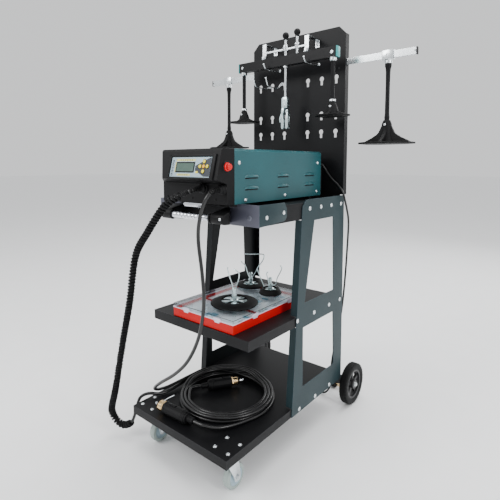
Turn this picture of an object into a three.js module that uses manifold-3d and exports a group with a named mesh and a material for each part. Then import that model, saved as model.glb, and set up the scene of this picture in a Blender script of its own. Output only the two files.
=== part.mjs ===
// A dent-repair welding station: a three-shelf trolley that carries a spot welder, a board of pulling
// tools and a case of pull pads. Millimetres, +Z up, +X to the right seen from the front, front at -Y.
import * as THREE from "three";
import { mergeVertices } from "three/addons/utils/BufferGeometryUtils.js";
import Module from "manifold-3d";

const wasm = await Module();
wasm.setup();

// Driving dimensions. Y is counted from the rear face of the trolley's side panels.
const GAP = 0.4; // clearance between neighbours
const TROLLEY_W = 406;
const SHEET = 2.5;
const HALF = TROLLEY_W / 2;
const SHELF_HALF = HALF - SHEET - GAP;

const BOTTOM = { front: -618, low: 109, top: 134 };
const MIDDLE = { front: -528, low: 393, top: 422 };
const TOP = { front: -487, low: 726, top: 777 };
const SHELF_REAR = -12;

const PANEL_TOP = 786;
const PANEL_TOP_FRONT = -250;
const PANEL_FOOT_FRONT = -322;
const PANEL_CHAMFER = 22;
const PANEL_FLANGE = 24;

const BOARD = { face: -8, low: 730, shoulder: 788, top: 1370, chamfer: 26, flange: 24 };
const KEY_COLUMNS = [-168, -110, -52, 52, 110, 168];
const KEY_ROWS = [1012, 1076, 1200];
const KEY = { headR: 9, slotHalf: 5, drop: 22 };

const WHEEL = { r: 75, width: 30, x: 222, y: 50, bore: 6.6 };
const AXLE_R = 6;
const CASTER = { x: 160, y: -570, top: 124, wheelR: 36, wheelW: 22, trail: 24 };

const BAR = { half: 443, z: 1248, y: 3, high: 22, deep: 12 };
const LEG_X = 350;
const LEG_FOOT = { top: 1040, low: 962, half: 84, deep: 62 };

const BEAM = { half: 212, z: 1266, y: -80, high: 34, deep: 22 };
const POST_X = 194;
const POST_R = 7;
const BEAM_FOOT = { top: 1104, low: 1056, half: 54, deep: 46 };
const ROD = { x: 2, r: 4.5, top: 1346, low: 1138.4 };
const SCREW_X = 51;
const STRAP_X = 92;

const WELDER = { x0: -118, x1: 142, low: 787, top: 938, front: -588, joint: -517, rear: -62 };
const CABLE_R = 5;
const SOCKET_A = { x: 57, z: 829 };
const SOCKET_B = { x: 128, z: 829 };
const SOCKET_R = 12;

const CASE = { x0: -110, x1: 140, y0: -523, y1: -173, low: 422.4, rim: 449, top: 463 };
const PADS = [
  { x: 45, y: -411, r: 74, h: 17 },
  { x: -39, y: -229, r: 49, h: 15 },
  { x: 71, y: -259, r: 38, h: 22 },
];
const COIL = { x: -8, y: -392, r0: 120, r1: 156 };

// Geometry helpers: three.js shapes become solids only to be joined or cut.
function solid(geometry) {
  const bare = geometry.index ? geometry.toNonIndexed() : geometry.clone();
  const clean = new THREE.BufferGeometry();
  clean.setAttribute("position", bare.getAttribute("position"));
  const merged = mergeVertices(clean, 1e-3);
  const vertProperties = merged.attributes.position.array;
  const triVerts = new Uint32Array(merged.index.array);
  return new wasm.Manifold(new wasm.Mesh({ numProp: 3, vertProperties, triVerts }));
}

function geometryOf(body) {
  const mesh = body.getMesh();
  const geometry = new THREE.BufferGeometry();
  geometry.setAttribute("position", new THREE.BufferAttribute(mesh.vertProperties, 3));
  geometry.setIndex(new THREE.BufferAttribute(mesh.triVerts, 1));
  return geometry;
}

function join(first, ...others) {
  let body = solid(first);
  for (const other of others) body = body.add(solid(other));
  return geometryOf(body);
}

function cut(first, ...others) {
  let body = solid(first);
  for (const other of others) body = body.subtract(solid(other));
  return geometryOf(body);
}

function block(x0, x1, y0, y1, z0, z1) {
  const geometry = new THREE.BoxGeometry(x1 - x0, y1 - y0, z1 - z0);
  return geometry.translate((x0 + x1) / 2, (y0 + y1) / 2, (z0 + z1) / 2);
}

function rod(from, to, radius, sides = 12) {
  const a = new THREE.Vector3(...from);
  const b = new THREE.Vector3(...to);
  const along = b.clone().sub(a);
  const geometry = new THREE.CylinderGeometry(radius, radius, along.length(), sides);
  const turn = new THREE.Quaternion().setFromUnitVectors(new THREE.Vector3(0, 1, 0), along.normalize());
  return geometry.applyQuaternion(turn).translate(...a.add(b).multiplyScalar(0.5));
}

function turned(profile, x, y, z, sides = 24) {
  const points = profile.map(([r, h]) => new THREE.Vector2(r, h));
  return new THREE.LatheGeometry(points, sides).rotateX(Math.PI / 2).translate(x, y, z);
}

// An outline in the Y-Z plane, extruded along X from x0 to x1.
function plateX(outline, x0, x1) {
  const shape = new THREE.Shape(outline.map(([y, z]) => new THREE.Vector2(y, z)));
  const geometry = new THREE.ExtrudeGeometry(shape, { depth: x1 - x0, bevelEnabled: false });
  return geometry.rotateY(Math.PI / 2).rotateX(Math.PI / 2).translate(x0, 0, 0);
}

// An outline in the X-Z plane, extruded along Y from y0 to y1.
function plateY(outline, y0, y1) {
  const shape = new THREE.Shape(outline.map(([x, z]) => new THREE.Vector2(x, z)));
  const geometry = new THREE.ExtrudeGeometry(shape, { depth: y1 - y0, bevelEnabled: false });
  return geometry.rotateX(Math.PI / 2).translate(0, y1, 0);
}

// An outline in the X-Y plane, extruded upwards from z0 to z1.
function plateZ(outline, z0, z1) {
  const shape = new THREE.Shape(outline.map(([x, y]) => new THREE.Vector2(x, y)));
  return new THREE.ExtrudeGeometry(shape, { depth: z1 - z0, bevelEnabled: false }).translate(0, 0, z0);
}

function tube(points, radius, sides, steps) {
  const section = new THREE.Shape();
  for (let i = 0; i < sides; i += 1) {
    const angle = (2 * Math.PI * i) / sides;
    const place = [radius * Math.cos(angle), radius * Math.sin(angle)];
    if (i === 0) section.moveTo(...place);
    else section.lineTo(...place);
  }
  const path = new THREE.CatmullRomCurve3(points.map((p) => new THREE.Vector3(...p)));
  return new THREE.ExtrudeGeometry(section, { steps, bevelEnabled: false, extrudePath: path });
}

const PAINT = {
  black: [0x17181a, 0.55, 0.2],
  teal: [0x3a4a50, 0.45, 0.3],
  cover: [0x2c6670, 0.4, 0.3],
  zinc: [0xc4c8c8, 0.3, 0.9],
  plastic: [0x1d1d1f, 0.6, 0],
  rubber: [0x111112, 0.85, 0],
  red: [0xd01018, 0.35, 0],
  clear: [0xd8e4e8, 0.1, 0],
  silver: [0xb9c2c6, 0.35, 0.5],
  yellow: [0xe8d83c, 0.45, 0],
};

const station = new THREE.Group();

function add(name, geometry, paint) {
  const [color, roughness, metalness] = PAINT[paint];
  const material = new THREE.MeshStandardMaterial({ color, roughness, metalness });
  const mesh = new THREE.Mesh(geometry, material);
  mesh.name = name;
  station.add(mesh);
}

// Trolley.
function shelf({ front, low, top }) {
  const outer = block(-SHELF_HALF, SHELF_HALF, front, SHELF_REAR, low, top);
  const inner = [SHELF_HALF - SHEET, front + SHEET, SHELF_REAR - SHEET];
  return cut(outer, block(-inner[0], inner[0], inner[1], inner[2], low - 1, top - SHEET));
}

function bottomShelf() {
  const ear = [
    [-70, 122], [SHELF_REAR + 1, 122], [WHEEL.y + 10, 88],
    [WHEEL.y + 12, 62], [WHEEL.y - 12, 62], [-60, 112],
  ];
  const ears = [-1, 1].map((side) => plateX(ear, side * 178 - 2, side * 178 + 2));
  const bore = rod([-HALF, WHEEL.y, WHEEL.r], [HALF, WHEEL.y, WHEEL.r], AXLE_R + GAP);
  return geometryOf(solid(join(shelf(BOTTOM), ...ears)).subtract(solid(bore)));
}

function panelEdge(z) {
  const slope =
    (PANEL_FOOT_FRONT - PANEL_TOP_FRONT + PANEL_CHAMFER) / (BOTTOM.low - PANEL_TOP + PANEL_CHAMFER);
  return PANEL_TOP_FRONT - PANEL_CHAMFER + (z - PANEL_TOP + PANEL_CHAMFER) * slope;
}

function sidePanel(side) {
  const outer = [
    [0, BOTTOM.low],
    [0, PANEL_TOP],
    [PANEL_TOP_FRONT, PANEL_TOP],
    [PANEL_TOP_FRONT - PANEL_CHAMFER, PANEL_TOP - PANEL_CHAMFER],
    [PANEL_FOOT_FRONT, BOTTOM.low],
  ];
  const windows = [
    [[-78, 717], [-201, 717], [-255, 458], [-68, 458]],
    [[-68, 381], [-262, 381], [-262, 185], [-58, 185]],
  ];
  const x0 = side > 0 ? HALF - SHEET : -HALF;
  const holes = windows.map((corners) => plateX(corners.slice().reverse(), x0 - 1, x0 + SHEET + 1));
  const flanges = [[MIDDLE.top + 3, TOP.low - 3], [BOTTOM.top + 3, MIDDLE.low - 3]].map(([z0, z1]) => {
    const strip = [
      [panelEdge(z0), z0], [panelEdge(z0) + SHEET, z0],
      [panelEdge(z1) + SHEET, z1], [panelEdge(z1), z1],
    ];
    const inner = side > 0 ? HALF - PANEL_FLANGE : -HALF;
    return plateX(strip, inner, inner + PANEL_FLANGE);
  });
  const rears = [[MIDDLE.top + 3, TOP.low - 3], [BOTTOM.top + 3, MIDDLE.low - 3]].map(([z0, z1]) => {
    const inner = side > 0 ? HALF - PANEL_FLANGE : -HALF;
    return block(inner, inner + PANEL_FLANGE, -SHEET, 0, z0, z1);
  });
  return join(cut(plateX(outer.reverse(), x0, x0 + SHEET), ...holes), ...flanges, ...rears);
}

function keyhole(x, z) {
  const points = [];
  const start = Math.asin(KEY.slotHalf / KEY.headR);
  for (let i = 0; i <= 8; i += 1) {
    const angle = -Math.PI / 2 + start + (i / 8) * (2 * Math.PI - 2 * start);
    points.push([x + KEY.headR * Math.cos(angle), z + KEY.headR * Math.sin(angle)]);
  }
  points.push([x - KEY.slotHalf, z - KEY.drop], [x + KEY.slotHalf, z - KEY.drop]);
  return plateY(points, BOARD.face - 1, BOARD.face + SHEET + 1);
}

function toolBoard() {
  const { face, low, shoulder, top, chamfer, flange } = BOARD;
  const half = SHELF_HALF - 10;
  const outline = [
    [-half, low], [half, low], [half, shoulder],
    [HALF, shoulder], [HALF, top - chamfer], [HALF - chamfer, top],
    [-HALF + chamfer, top], [-HALF, top - chamfer], [-HALF, shoulder], [-half, shoulder],
  ];
  const sheet = plateY(outline, face, face + SHEET);
  const sides = [-1, 1].map((side) => {
    const x0 = side > 0 ? HALF - SHEET : -HALF;
    return block(x0, x0 + SHEET, face, face + flange, shoulder, top - chamfer);
  });
  const barSlot = block(
    -HALF - 1, HALF + 1, BAR.y - BAR.deep / 2 - GAP, BAR.y + BAR.deep / 2 + GAP,
    BAR.z - BAR.high / 2 - GAP, BAR.z + BAR.high / 2 + GAP,
  );
  const keys = KEY_ROWS.flatMap((z) => KEY_COLUMNS.map((x) => keyhole(x, z)));
  return cut(join(sheet, ...sides), barSlot, ...keys);
}

function rearWheel(side) {
  const x = side * WHEEL.x;
  const half = WHEEL.width / 2;
  const r = WHEEL.r;
  const profile = [
    [WHEEL.bore, -half], [r * 0.34, -half], [r * 0.36, -half + 5], [r * 0.72, -half + 5], [r * 0.76, -half],
    [r - 4, -half], [r, -half + 5], [r, half - 5], [r - 4, half], [r * 0.76, half], [r * 0.72, half - 5],
    [r * 0.36, half - 5], [r * 0.34, half], [WHEEL.bore, half], [WHEEL.bore, -half],
  ];
  const points = profile.map(([radius, h]) => new THREE.Vector2(radius, h));
  return new THREE.LatheGeometry(points, 32).rotateZ(Math.PI / 2).translate(x, WHEEL.y, r);
}

function casterFork(side) {
  const { x, y, top, wheelR, wheelW, trail } = CASTER;
  const cx = side * x;
  const cheek = wheelW / 2 + 2;
  const axleY = y + trail;
  const crown = rod([cx, y, top - 12], [cx, y, top], 24, 16);
  const outline = [[y - 22, top - 6], [axleY - 9, wheelR - 10], [axleY + 9, wheelR - 10], [y + 22, top - 6]];
  const cheeks = [-1, 1].map((s) => plateX(outline, cx + s * (cheek + 1) - 1.5, cx + s * (cheek + 1) + 1.5));
  const pin = rod([cx - cheek - 4, axleY, wheelR], [cx + cheek + 4, axleY, wheelR], 4, 10);
  return join(crown, ...cheeks, pin);
}

function casterWheel(side) {
  const { x, y, wheelR, wheelW, trail } = CASTER;
  const half = wheelW / 2;
  const profile = [
    [4.6, -half], [wheelR - 3, -half], [wheelR, -half + 3],
    [wheelR, half - 3], [wheelR - 3, half], [4.6, half],
    [4.6, -half],
  ];
  const points = profile.map(([radius, h]) => new THREE.Vector2(radius, h));
  return new THREE.LatheGeometry(points, 24).rotateZ(Math.PI / 2).translate(side * x, y + trail, wheelR);
}

function buildTrolley() {
  add("bottom_shelf", bottomShelf(), "black");
  add("middle_shelf", shelf(MIDDLE), "black");
  add("top_shelf", shelf(TOP), "black");
  add("tool_board", toolBoard(), "black");
  const reach = WHEEL.x + WHEEL.width / 2 + 6;
  add("rear_axle", rod([-reach, WHEEL.y, WHEEL.r], [reach, WHEEL.y, WHEEL.r], AXLE_R), "zinc");
  for (const [name, side] of [["left", -1], ["right", 1]]) {
    add(`side_panel_${name}`, sidePanel(side), "teal");
    add(`rear_wheel_${name}`, rearWheel(side), "rubber");
    add(`caster_fork_${name}`, casterFork(side), "zinc");
    add(`caster_wheel_${name}`, casterWheel(side), "zinc");
  }
}

// Front grab handle: a tube between two moulded brackets on the top shelf's lip.
const HANDLE = { y: -545, z: 747, r: 9.5, inner: 84, outer: 136 };

function buildHandle() {
  const { y, z, r, inner, outer } = HANDLE;
  const outline = [
    [TOP.front - GAP, 730], [y - 10, 736], [y - 12, 756],
    [y + 4, 764], [TOP.front - GAP, 774],
  ];
  for (const [name, side] of [["left", -1], ["right", 1]]) {
    const x0 = side > 0 ? inner : -outer;
    const flare = [
      [outer + 1, y + 12], [outer - 38, TOP.front],
      [outer + 1, TOP.front],
    ].map(([x, d]) => [side * x, d]);
    const relief = plateZ(flare, z - 30, z + 40);
    add(`handle_bracket_${name}`, cut(plateX(outline, x0, x0 + outer - inner), relief), "plastic");
  }
  add("handle_tube", rod([-inner + GAP, y, z], [inner - GAP, y, z], r, 20), "zinc");
}

// Long bar across the board, with a sliding leg and a swivelling foot near each end.
function pyramidFoot(x, y, { top, low, half, deep }, neckR) {
  const ground = block(x - half, x + half, y - deep, y + deep, low, low + 9);
  const ribX = [[-half + 4, low + 8], [half - 4, low + 8], [16, top - 12], [-16, top - 12]];
  const ribY = [[-deep + 4, low + 8], [deep - 4, low + 8], [14, top - 12], [-14, top - 12]];
  const alongX = plateY(ribX.map(([a, z]) => [x + a, z]), y - 7, y + 7);
  const alongY = plateX(ribY.map(([b, z]) => [y + b, z]).reverse(), x - 7, x + 7);
  const hub = rod([x, y, low + 6], [x, y, top - 8], neckR + 13, 12);
  const socket = rod([x, y, top - 16], [x, y, top + 1], neckR + GAP, 12);
  return cut(join(ground, alongX, alongY, hub), socket);
}

function buildBarLegs() {
  const { half, z, y, high, deep } = BAR;
  add("cross_bar", block(-half, half, y - deep / 2, y + deep / 2, z - high / 2, z + high / 2), "zinc");
  for (const [name, side] of [["left", -1], ["right", 1]]) {
    const x = side * LEG_X;
    const wall = 4;
    const outer = block(
      x - 19, x + 19,
      y - deep / 2 - wall, y + deep / 2 + wall, z - high / 2 - wall, z + high / 2 + wall,
    );
    const inner = block(
      x - 20, x + 20,
      y - deep / 2 - GAP, y + deep / 2 + GAP, z - high / 2 - GAP, z + high / 2 + GAP,
    );
    const boss = rod([x, y, z - high / 2 - wall - 12], [x, y, z - high / 2 - wall + 1], 12, 16);
    add(`bar_sleeve_${name}`, cut(join(outer, boss), inner), "zinc");
    const postTop = z - high / 2 - wall - 12 - GAP;
    add(`bar_post_${name}`, rod([x, y, LEG_FOOT.top - 14], [x, y, postTop], 8, 12), "black");
    add(`bar_foot_${name}`, pyramidFoot(x, y, LEG_FOOT, 8), "rubber");
  }
}

// Bridge puller: a beam on two posts, a pull rod through it and a gripping clamp below.
function pullerFrame() {
  const { half, z, y, high, deep } = BEAM;
  const beam = block(-half, half, y - deep / 2, y + deep / 2, z - high / 2, z + high / 2);
  const posts = [-1, 1].map((side) =>
    rod([side * POST_X, y, BEAM_FOOT.top - 14], [side * POST_X, y, z], POST_R, 12),
  );
  const bores = [ROD.x, SCREW_X].map((x) => rod([x, y, z - high], [x, y, z + high], ROD.r + GAP, 12));
  return cut(join(beam, ...posts), ...bores);
}

function hanger() {
  const { z, y, high } = BEAM;
  const foot = z + high / 2 + GAP;
  const crest = 1340;
  const rear = BOARD.face - GAP;
  const outline = [
    [y - 9, foot], [y + 9, foot], [y + 3, foot + 14], [y + 3, crest - 4], [rear - 3, crest - 4],
    [rear - 3, crest - 28], [rear, crest - 28], [rear, crest], [y - 3, crest], [y - 3, foot + 14],
  ];
  const straps = [-1, 1].map((side) => plateX(outline, side * STRAP_X - 8, side * STRAP_X + 8));
  const bridge = foot + 24;
  const rail = rod([-STRAP_X, y, bridge], [STRAP_X, y, bridge], 4, 10);
  const eye = rod([ROD.x, y, bridge - 7], [ROD.x, y, bridge + 7], 11, 14);
  const bore = rod([ROD.x, y, bridge - 20], [ROD.x, y, bridge + 20], ROD.r + GAP, 12);
  const screwEye = rod([SCREW_X, y, bridge - 6], [SCREW_X, y, bridge + 6], 9, 12);
  const screwBore = rod([SCREW_X, y, bridge - 20], [SCREW_X, y, bridge + 20], ROD.r + GAP, 12);
  return cut(join(rail, ...straps, eye, screwEye), bore, screwBore);
}

function ballStem(x, low, top, ballR, collar) {
  const stem = rod([x, BEAM.y, low], [x, BEAM.y, top], ROD.r, 12);
  const ball =
    new THREE.SphereGeometry(ballR, 14, 10).rotateX(Math.PI / 2).translate(x, BEAM.y, top + ballR - 3);
  const stop = rod([x, BEAM.y, collar], [x, BEAM.y, collar + 8], 9, 12);
  return join(stem, ball, stop);
}

function buildPuller() {
  const { z, y, high } = BEAM;
  const eyeTop = z + high / 2 + GAP + 24 + 7;
  add("puller_frame", pullerFrame(), "black");
  add("puller_hanger", hanger(), "zinc");
  add("pull_rod", ballStem(ROD.x, ROD.low, ROD.top, 12, eyeTop + GAP), "zinc");
  add("lock_screw", ballStem(SCREW_X, z - 10, ROD.top + 4, 12, eyeTop + GAP), "zinc");
  const arm = [
    [-14, 1030], [-8, 1022], [-2, 1030], [-2, 1098],
    [12, 1098], [12, 1138], [-12, 1138], [-14, 1100],
  ];
  const armY = [y - 8, y + 8];
  add("clamp_body", plateY(arm.map(([x, h]) => [ROD.x + x, h]), ...armY), "zinc");
  const jaw = [[4, 1030], [10, 1022], [16, 1030], [16, 1092], [4, 1092]];
  add("clamp_jaw", plateY(jaw.map(([x, h]) => [ROD.x + x, h]), ...armY), "zinc");
  for (const [name, side] of [["left", -1], ["right", 1]])
    add(`puller_foot_${name}`, pyramidFoot(side * POST_X, y, BEAM_FOOT, POST_R), "rubber");
}

// Welder.
function bezel() {
  const { x0, x1, low, top, front, joint } = WELDER;
  const lower = front + 40;
  const side = [
    [joint - GAP, low], [lower, low], [lower, 843], [front, 855], [front + 20, top - 6], [front + 26, top],
    [joint - GAP, top],
  ];
  const body = plateX(side, x0, x1);
  const sockets = [SOCKET_A, SOCKET_B].map(({ x, z }) =>
    rod([x, lower - 5, z], [x, lower + 16, z], SOCKET_R + GAP, 16),
  );
  const knob = rod([x1 - 8, KNOB.y, KNOB.z], [x1 + 5, KNOB.y, KNOB.z], 5, 12);
  const corner = plateZ([[x0 - 1, front - 8], [x0 + 52, front - 8], [x0 - 1, lower + 1]], 842, top + 1);
  const brow = plateY([[x0 - 1, top - 24], [x0 + 27, top + 1], [x0 - 1, top + 1]], front - 9, lower);
  return cut(body, ...sockets, knob, panelRecess(GAP), corner, brow);
}

const KNOB = { y: -548, z: 889, r: 12, reach: 13 };
const PANEL = { x0: -44, x1: 116, low: 861, top: 917, deep: 4 };
const PANEL_TILT = Math.atan2(20, WELDER.top - 6 - 855);

// Places a shape drawn flat (X across, Z up, front at Y = 0) on the bezel's leaning front face.
function onFace(geometry) {
  return geometry.rotateX(-PANEL_TILT).translate(0, WELDER.front, 855);
}

function panelPlate(x0, x1, z0, z1, y0, y1) {
  return onFace(block(x0, x1, y0, y1, z0 - 855, z1 - 855));
}

function panelRecess(gap) {
  return panelPlate(PANEL.x0 - gap, PANEL.x1 + gap, PANEL.low - gap, PANEL.top + gap, -6, PANEL.deep + gap);
}

const BUTTON_R = 5.2;
const BUTTON_STEP = 13.5;
const PAD_X = 88;
const PAD_Z = 891;
const BUTTONS = {
  up: [0, 1], down: [0, -1], left: [-1, 0], right: [1, 0], ok: [0, 0],
};

function buttonPlace([across, up]) {
  return [PAD_X + across * BUTTON_STEP, PAD_Z - 855 + up * BUTTON_STEP];
}

function controlPanel() {
  const plate = panelPlate(PANEL.x0, PANEL.x1, PANEL.low, PANEL.top, -0.5, PANEL.deep);
  const holes = Object.values(BUTTONS).map((place) => {
    const [x, z] = buttonPlace(place);
    return onFace(rod([x, -5, z], [x, 2.6, z], BUTTON_R + GAP, 14));
  });
  return cut(plate, ...holes);
}

function button(place) {
  const [x, z] = buttonPlace(place);
  return onFace(rod([x, -2.4, z], [x, 1, z], BUTTON_R, 14));
}

function cover() {
  const { x0, x1, low, top, joint, rear } = WELDER;
  const bevel = 6;
  const outline = [
    [x0, low], [x1, low], [x1, top - bevel],
    [x1 - bevel, top], [x0 + bevel, top], [x0, top - bevel],
  ];
  const inner = [
    [x0 + 2, low + 6], [x1 - 2, low + 6], [x1 - 2, top - bevel - 1], [x1 - bevel - 1, top - 2],
    [x0 + bevel + 1, top - 2], [x0 + 2, top - bevel - 1],
  ];
  const shell = cut(plateY(outline, joint, rear), plateY(inner, joint - 1, rear + 1));
  const floor = block(x0 + 2, x1 - 2, joint - 2, rear + 2, low - 1, low + 7);
  return cut(shell, floor);
}

function buildWelder() {
  const { x0, x1, low, top, joint, rear, front } = WELDER;
  const base = block(x0 + 2 + GAP, x1 - 2 - GAP, joint, rear, low + 1, low + 5);
  const feet = [[x0 + 30, joint + 30], [x1 - 30, joint + 30], [x0 + 30, rear - 30], [x1 - 30, rear - 30]];
  const pegs = feet.map(([x, y]) => rod([x, y, TOP.top + GAP], [x, y, low + 2], 14, 14));
  const core = block(x0 + 30, x1 - 30, joint + 40, rear - 40, low + 4, top - 40);
  add("welder_base", join(base, core, ...pegs), "black");
  add("welder_cover", cover(), "cover");
  add("welder_bezel", bezel(), "plastic");
  const back = block(x0, x1, rear + GAP, rear + 6, low, top);
  const gland = rod([MAINS.x, rear + 4, MAINS.z], [MAINS.x, rear + 18, MAINS.z], 9, 14);
  add("welder_rear_panel", join(back, gland), "black");
  add("control_panel", controlPanel(), "silver");
  for (const [name, place] of Object.entries(BUTTONS)) add(`button_${name}`, button(place), "yellow");
  const dial = rod([x1 + GAP, KNOB.y, KNOB.z], [x1 + KNOB.reach, KNOB.y, KNOB.z], KNOB.r, 18);
  const shaft = rod([x1 - 7, KNOB.y, KNOB.z], [x1 + 2, KNOB.y, KNOB.z], 4.5, 12);
  add("power_knob", join(dial, shaft), "red");
  const lower = front + 40;
  for (const [name, { x, z }] of [["left", SOCKET_A], ["right", SOCKET_B]]) {
    const plug = rod([x, lower - 18, z], [x, lower + 15, z], SOCKET_R, 16);
    const collar = rod([x, lower - 12, z], [x, lower - 1, z], SOCKET_R + 1.5, 16);
    add(`cable_gland_${name}`, join(plug, collar), "plastic");
  }
}

// Parts case with a clear hinged lid, and the pull pads that lie on it.
function buildCase() {
  const { x0, x1, y0, y1, low, rim, top } = CASE;
  const tray = block(x0, x1, y0, y1, low, rim);
  const well = block(x0 + 3, x1 - 3, y0 + 3, y1 - 3, low + 3, rim + 1);
  const rib = block(x0 + 2, x1 - 2, y0 + 130, y0 + 133, low + 2, rim - 3);
  add("case_tray", join(cut(tray, well), rib), "red");
  const lid = block(x0, x1, y0, y1, rim + GAP, top);
  add("case_lid", cut(lid, block(x0 + 2.5, x1 - 2.5, y0 + 2.5, y1 - 2.5, rim - 1, top - 2.5)), "clear");
}

function buildPads() {
  PADS.forEach(({ x, y, r, h }, index) => {
    const base = CASE.top + GAP;
    const profile = [
      [0, 0], [r - 3, 0], [r, 4], [r - 2, 8], [r * 0.5, h - 3],
      [12, h], [12, h + 6], [5, h + 8], [5, h + 34], [0, h + 34],
    ];
    add(`pull_pad_${index + 1}`, turned(profile, x, y, base, 28), "rubber");
  });
}

// Welding guns on the bottom shelf.
const GUNS = [
  { from: [30, -574, 153], to: [-112, -582, 153] },
  { from: [-92, -424, 153], to: [-22, -318, 153] },
];

function buildGuns() {
  GUNS.forEach(({ from, to }, index) => {
    const a = new THREE.Vector3(...from);
    const b = new THREE.Vector3(...to);
    const along = b.clone().sub(a).normalize();
    const length = a.distanceTo(b);
    const place = (s) => a.clone().addScaledVector(along, s).toArray();
    const relief = rod(place(0), place(30), 8, 14);
    const grip = rod(place(28), place(length - 26), 18, 18);
    const nozzle = rod(place(length - 28), place(length + 4), 11, 16);
    const tip = rod(place(length), place(length + 16), 4, 10);
    const lift = (p, z) => [p[0], p[1], p[2] + z];
    const slot = rod(lift(place(70), 16), lift(place(98), 16), 5.4, 10);
    add(`gun_${index + 1}`, cut(join(relief, grip, nozzle, tip), slot), "plastic");
    const sits = rod(lift(place(71), 15), lift(place(97), 15), 2.6, 8);
    const thumb = rod(lift(place(74), 17.2), lift(place(94), 17.2), 3.3, 8);
    add(`gun_trigger_${index + 1}`, join(sits, thumb), "plastic");
  });
}

// Cords: each free stretch is a plain tube and each coil one plain ring.
const MAINS = { x: 122, z: 900 };
const ROUTE_A = [
  [57, -566.6, 829], [57, -574, 829], [54, -594, 825], [38, -622, 812],
  [0, -642, 783], [-66, -650, 706], [-122, -652, 630],
  [-158, -650, 492], [-202, -648, 355], [-254, -644, 190],
  [-286, -640, 112], [-296, -634, 84], [-288, -625, 55],
  [-262, -614, 42], [-234, -603, 58], [-222, -594, 96],
  [-218, -580, 135], [-200, -560, 148], [-181, -528, 141],
  [-171, -490, 140],
];
const ROUTE_B = [
  [128, -566.6, 829], [128, -574, 829], [125, -590, 823], [116, -604, 800],
  [98, -606, 752], [90, -604, 695], [102, -602, 600],
  [106, -602, 520], [86, -602, 430], [42, -602, 350], [-18, -600, 290], [-92, -594, 236], [-142, -578, 196],
  [-168, -546, 168], [-174, -506, 155], [-171, -468, 152],
];
const ROUTE_MAINS = [
  [122, -43.6, 900], [122, -37, 900], [127, -24, 893], [140, -18, 872], [160, -18, 846], [188, -19, 822],
  [207, -18, 796], [214, -14, 768], [216, -2, 735], [215, 14, 690], [208, 24, 610], [200, 26, 480],
  [190, 24, 360], [172, 22, 250], [156, 22, 160], [150, 23, 90], [144, 25, 42], [124, 29, 12], [98, 32, 5],
  [76, 32, 4.4],
];
const MAINS_R = 3.6;
const MAINS_COIL = { x: 40, y: 72, z0: 0.5, z1: 22, r0: 32, r1: 47 };
const PLUG = { x0: 88, x1: 130, y: 107, z: 18, r: 17, pin: 18 };

function ring(x, y, z0, z1, r0, r1, sides = 32) {
  return turned([[r0, 0], [r1, 0], [r1, z1 - z0], [r0, z1 - z0], [r0, 0]], x, y, z0, sides);
}

function buildCords() {
  const { x, y, r0, r1 } = COIL;
  const floor = BOTTOM.top + GAP;
  add("cable_left_drop", tube(ROUTE_A, CABLE_R, 8, 70), "rubber");
  add("cable_left_coil", ring(x, y, floor, floor + 11, r0, r1), "rubber");
  add("cable_right_drop", tube(ROUTE_B, CABLE_R, 8, 60), "rubber");
  add("cable_right_coil", ring(x, y, floor + 11.5, floor + 22.5, r0, r1), "rubber");
  add("mains_lead_drop", tube(ROUTE_MAINS, MAINS_R, 8, 78), "rubber");
  const wound = MAINS_COIL;
  add("mains_coil", ring(wound.x, wound.y, wound.z0, wound.z1, wound.r0, wound.r1, 24), "rubber");
  const body = rod([PLUG.x0, PLUG.y, PLUG.z], [PLUG.x1, PLUG.y, PLUG.z], PLUG.r, 16);
  const pins = [-1, 1].map((side) => {
    const y = PLUG.y + side * 9;
    return rod([PLUG.x1 - 1, y, PLUG.z], [PLUG.x1 + PLUG.pin, y, PLUG.z], 2.4, 8);
  });
  add("mains_plug", join(body, ...pins), "rubber");
}

buildTrolley();
buildHandle();
buildBarLegs();
buildPuller();
buildWelder();
buildCase();
buildPads();
buildGuns();
buildCords();

// The origin is on the floor, under the middle of the whole station.
const REAR_MOST = WHEEL.y + WHEEL.r;
station.position.y = -(BOTTOM.front + REAR_MOST) / 2;

export default station;
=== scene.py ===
"""Looks for the dent-repair welding station, built round the CAD frame. Metres, +Z up, front at -Y."""
import math
import random

import bmesh
import bpy
from mathutils import Matrix, Vector


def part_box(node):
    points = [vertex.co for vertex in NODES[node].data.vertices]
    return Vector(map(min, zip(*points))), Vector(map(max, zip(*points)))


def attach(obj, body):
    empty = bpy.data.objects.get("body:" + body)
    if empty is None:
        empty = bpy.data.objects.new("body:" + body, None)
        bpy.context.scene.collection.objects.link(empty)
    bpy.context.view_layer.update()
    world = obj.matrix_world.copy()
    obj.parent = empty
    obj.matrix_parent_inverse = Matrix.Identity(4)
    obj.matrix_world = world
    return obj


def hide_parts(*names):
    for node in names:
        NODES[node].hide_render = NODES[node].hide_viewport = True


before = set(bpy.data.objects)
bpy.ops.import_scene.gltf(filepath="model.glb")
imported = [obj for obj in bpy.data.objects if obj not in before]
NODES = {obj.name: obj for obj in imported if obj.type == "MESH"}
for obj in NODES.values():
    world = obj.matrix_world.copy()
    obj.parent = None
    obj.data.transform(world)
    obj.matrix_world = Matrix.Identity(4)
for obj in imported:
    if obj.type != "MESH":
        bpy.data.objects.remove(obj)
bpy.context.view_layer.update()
random.seed(7)

MM = 0.001
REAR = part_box("side_panel_right")[1].y  # the rear face of the side panels, from which depths are counted
UP = Vector((0, 0, 1))
X, Y, Z, FRONT = (1, 0, 0), (0, 1, 0), (0, 0, 1), (0, -1, 0)  # axes, and the way the front faces


def at(x, y, z):
    """A point given in millimetres, with y counted from the rear face of the side panels."""
    return Vector((x * MM, y * MM + REAR, z * MM))


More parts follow.
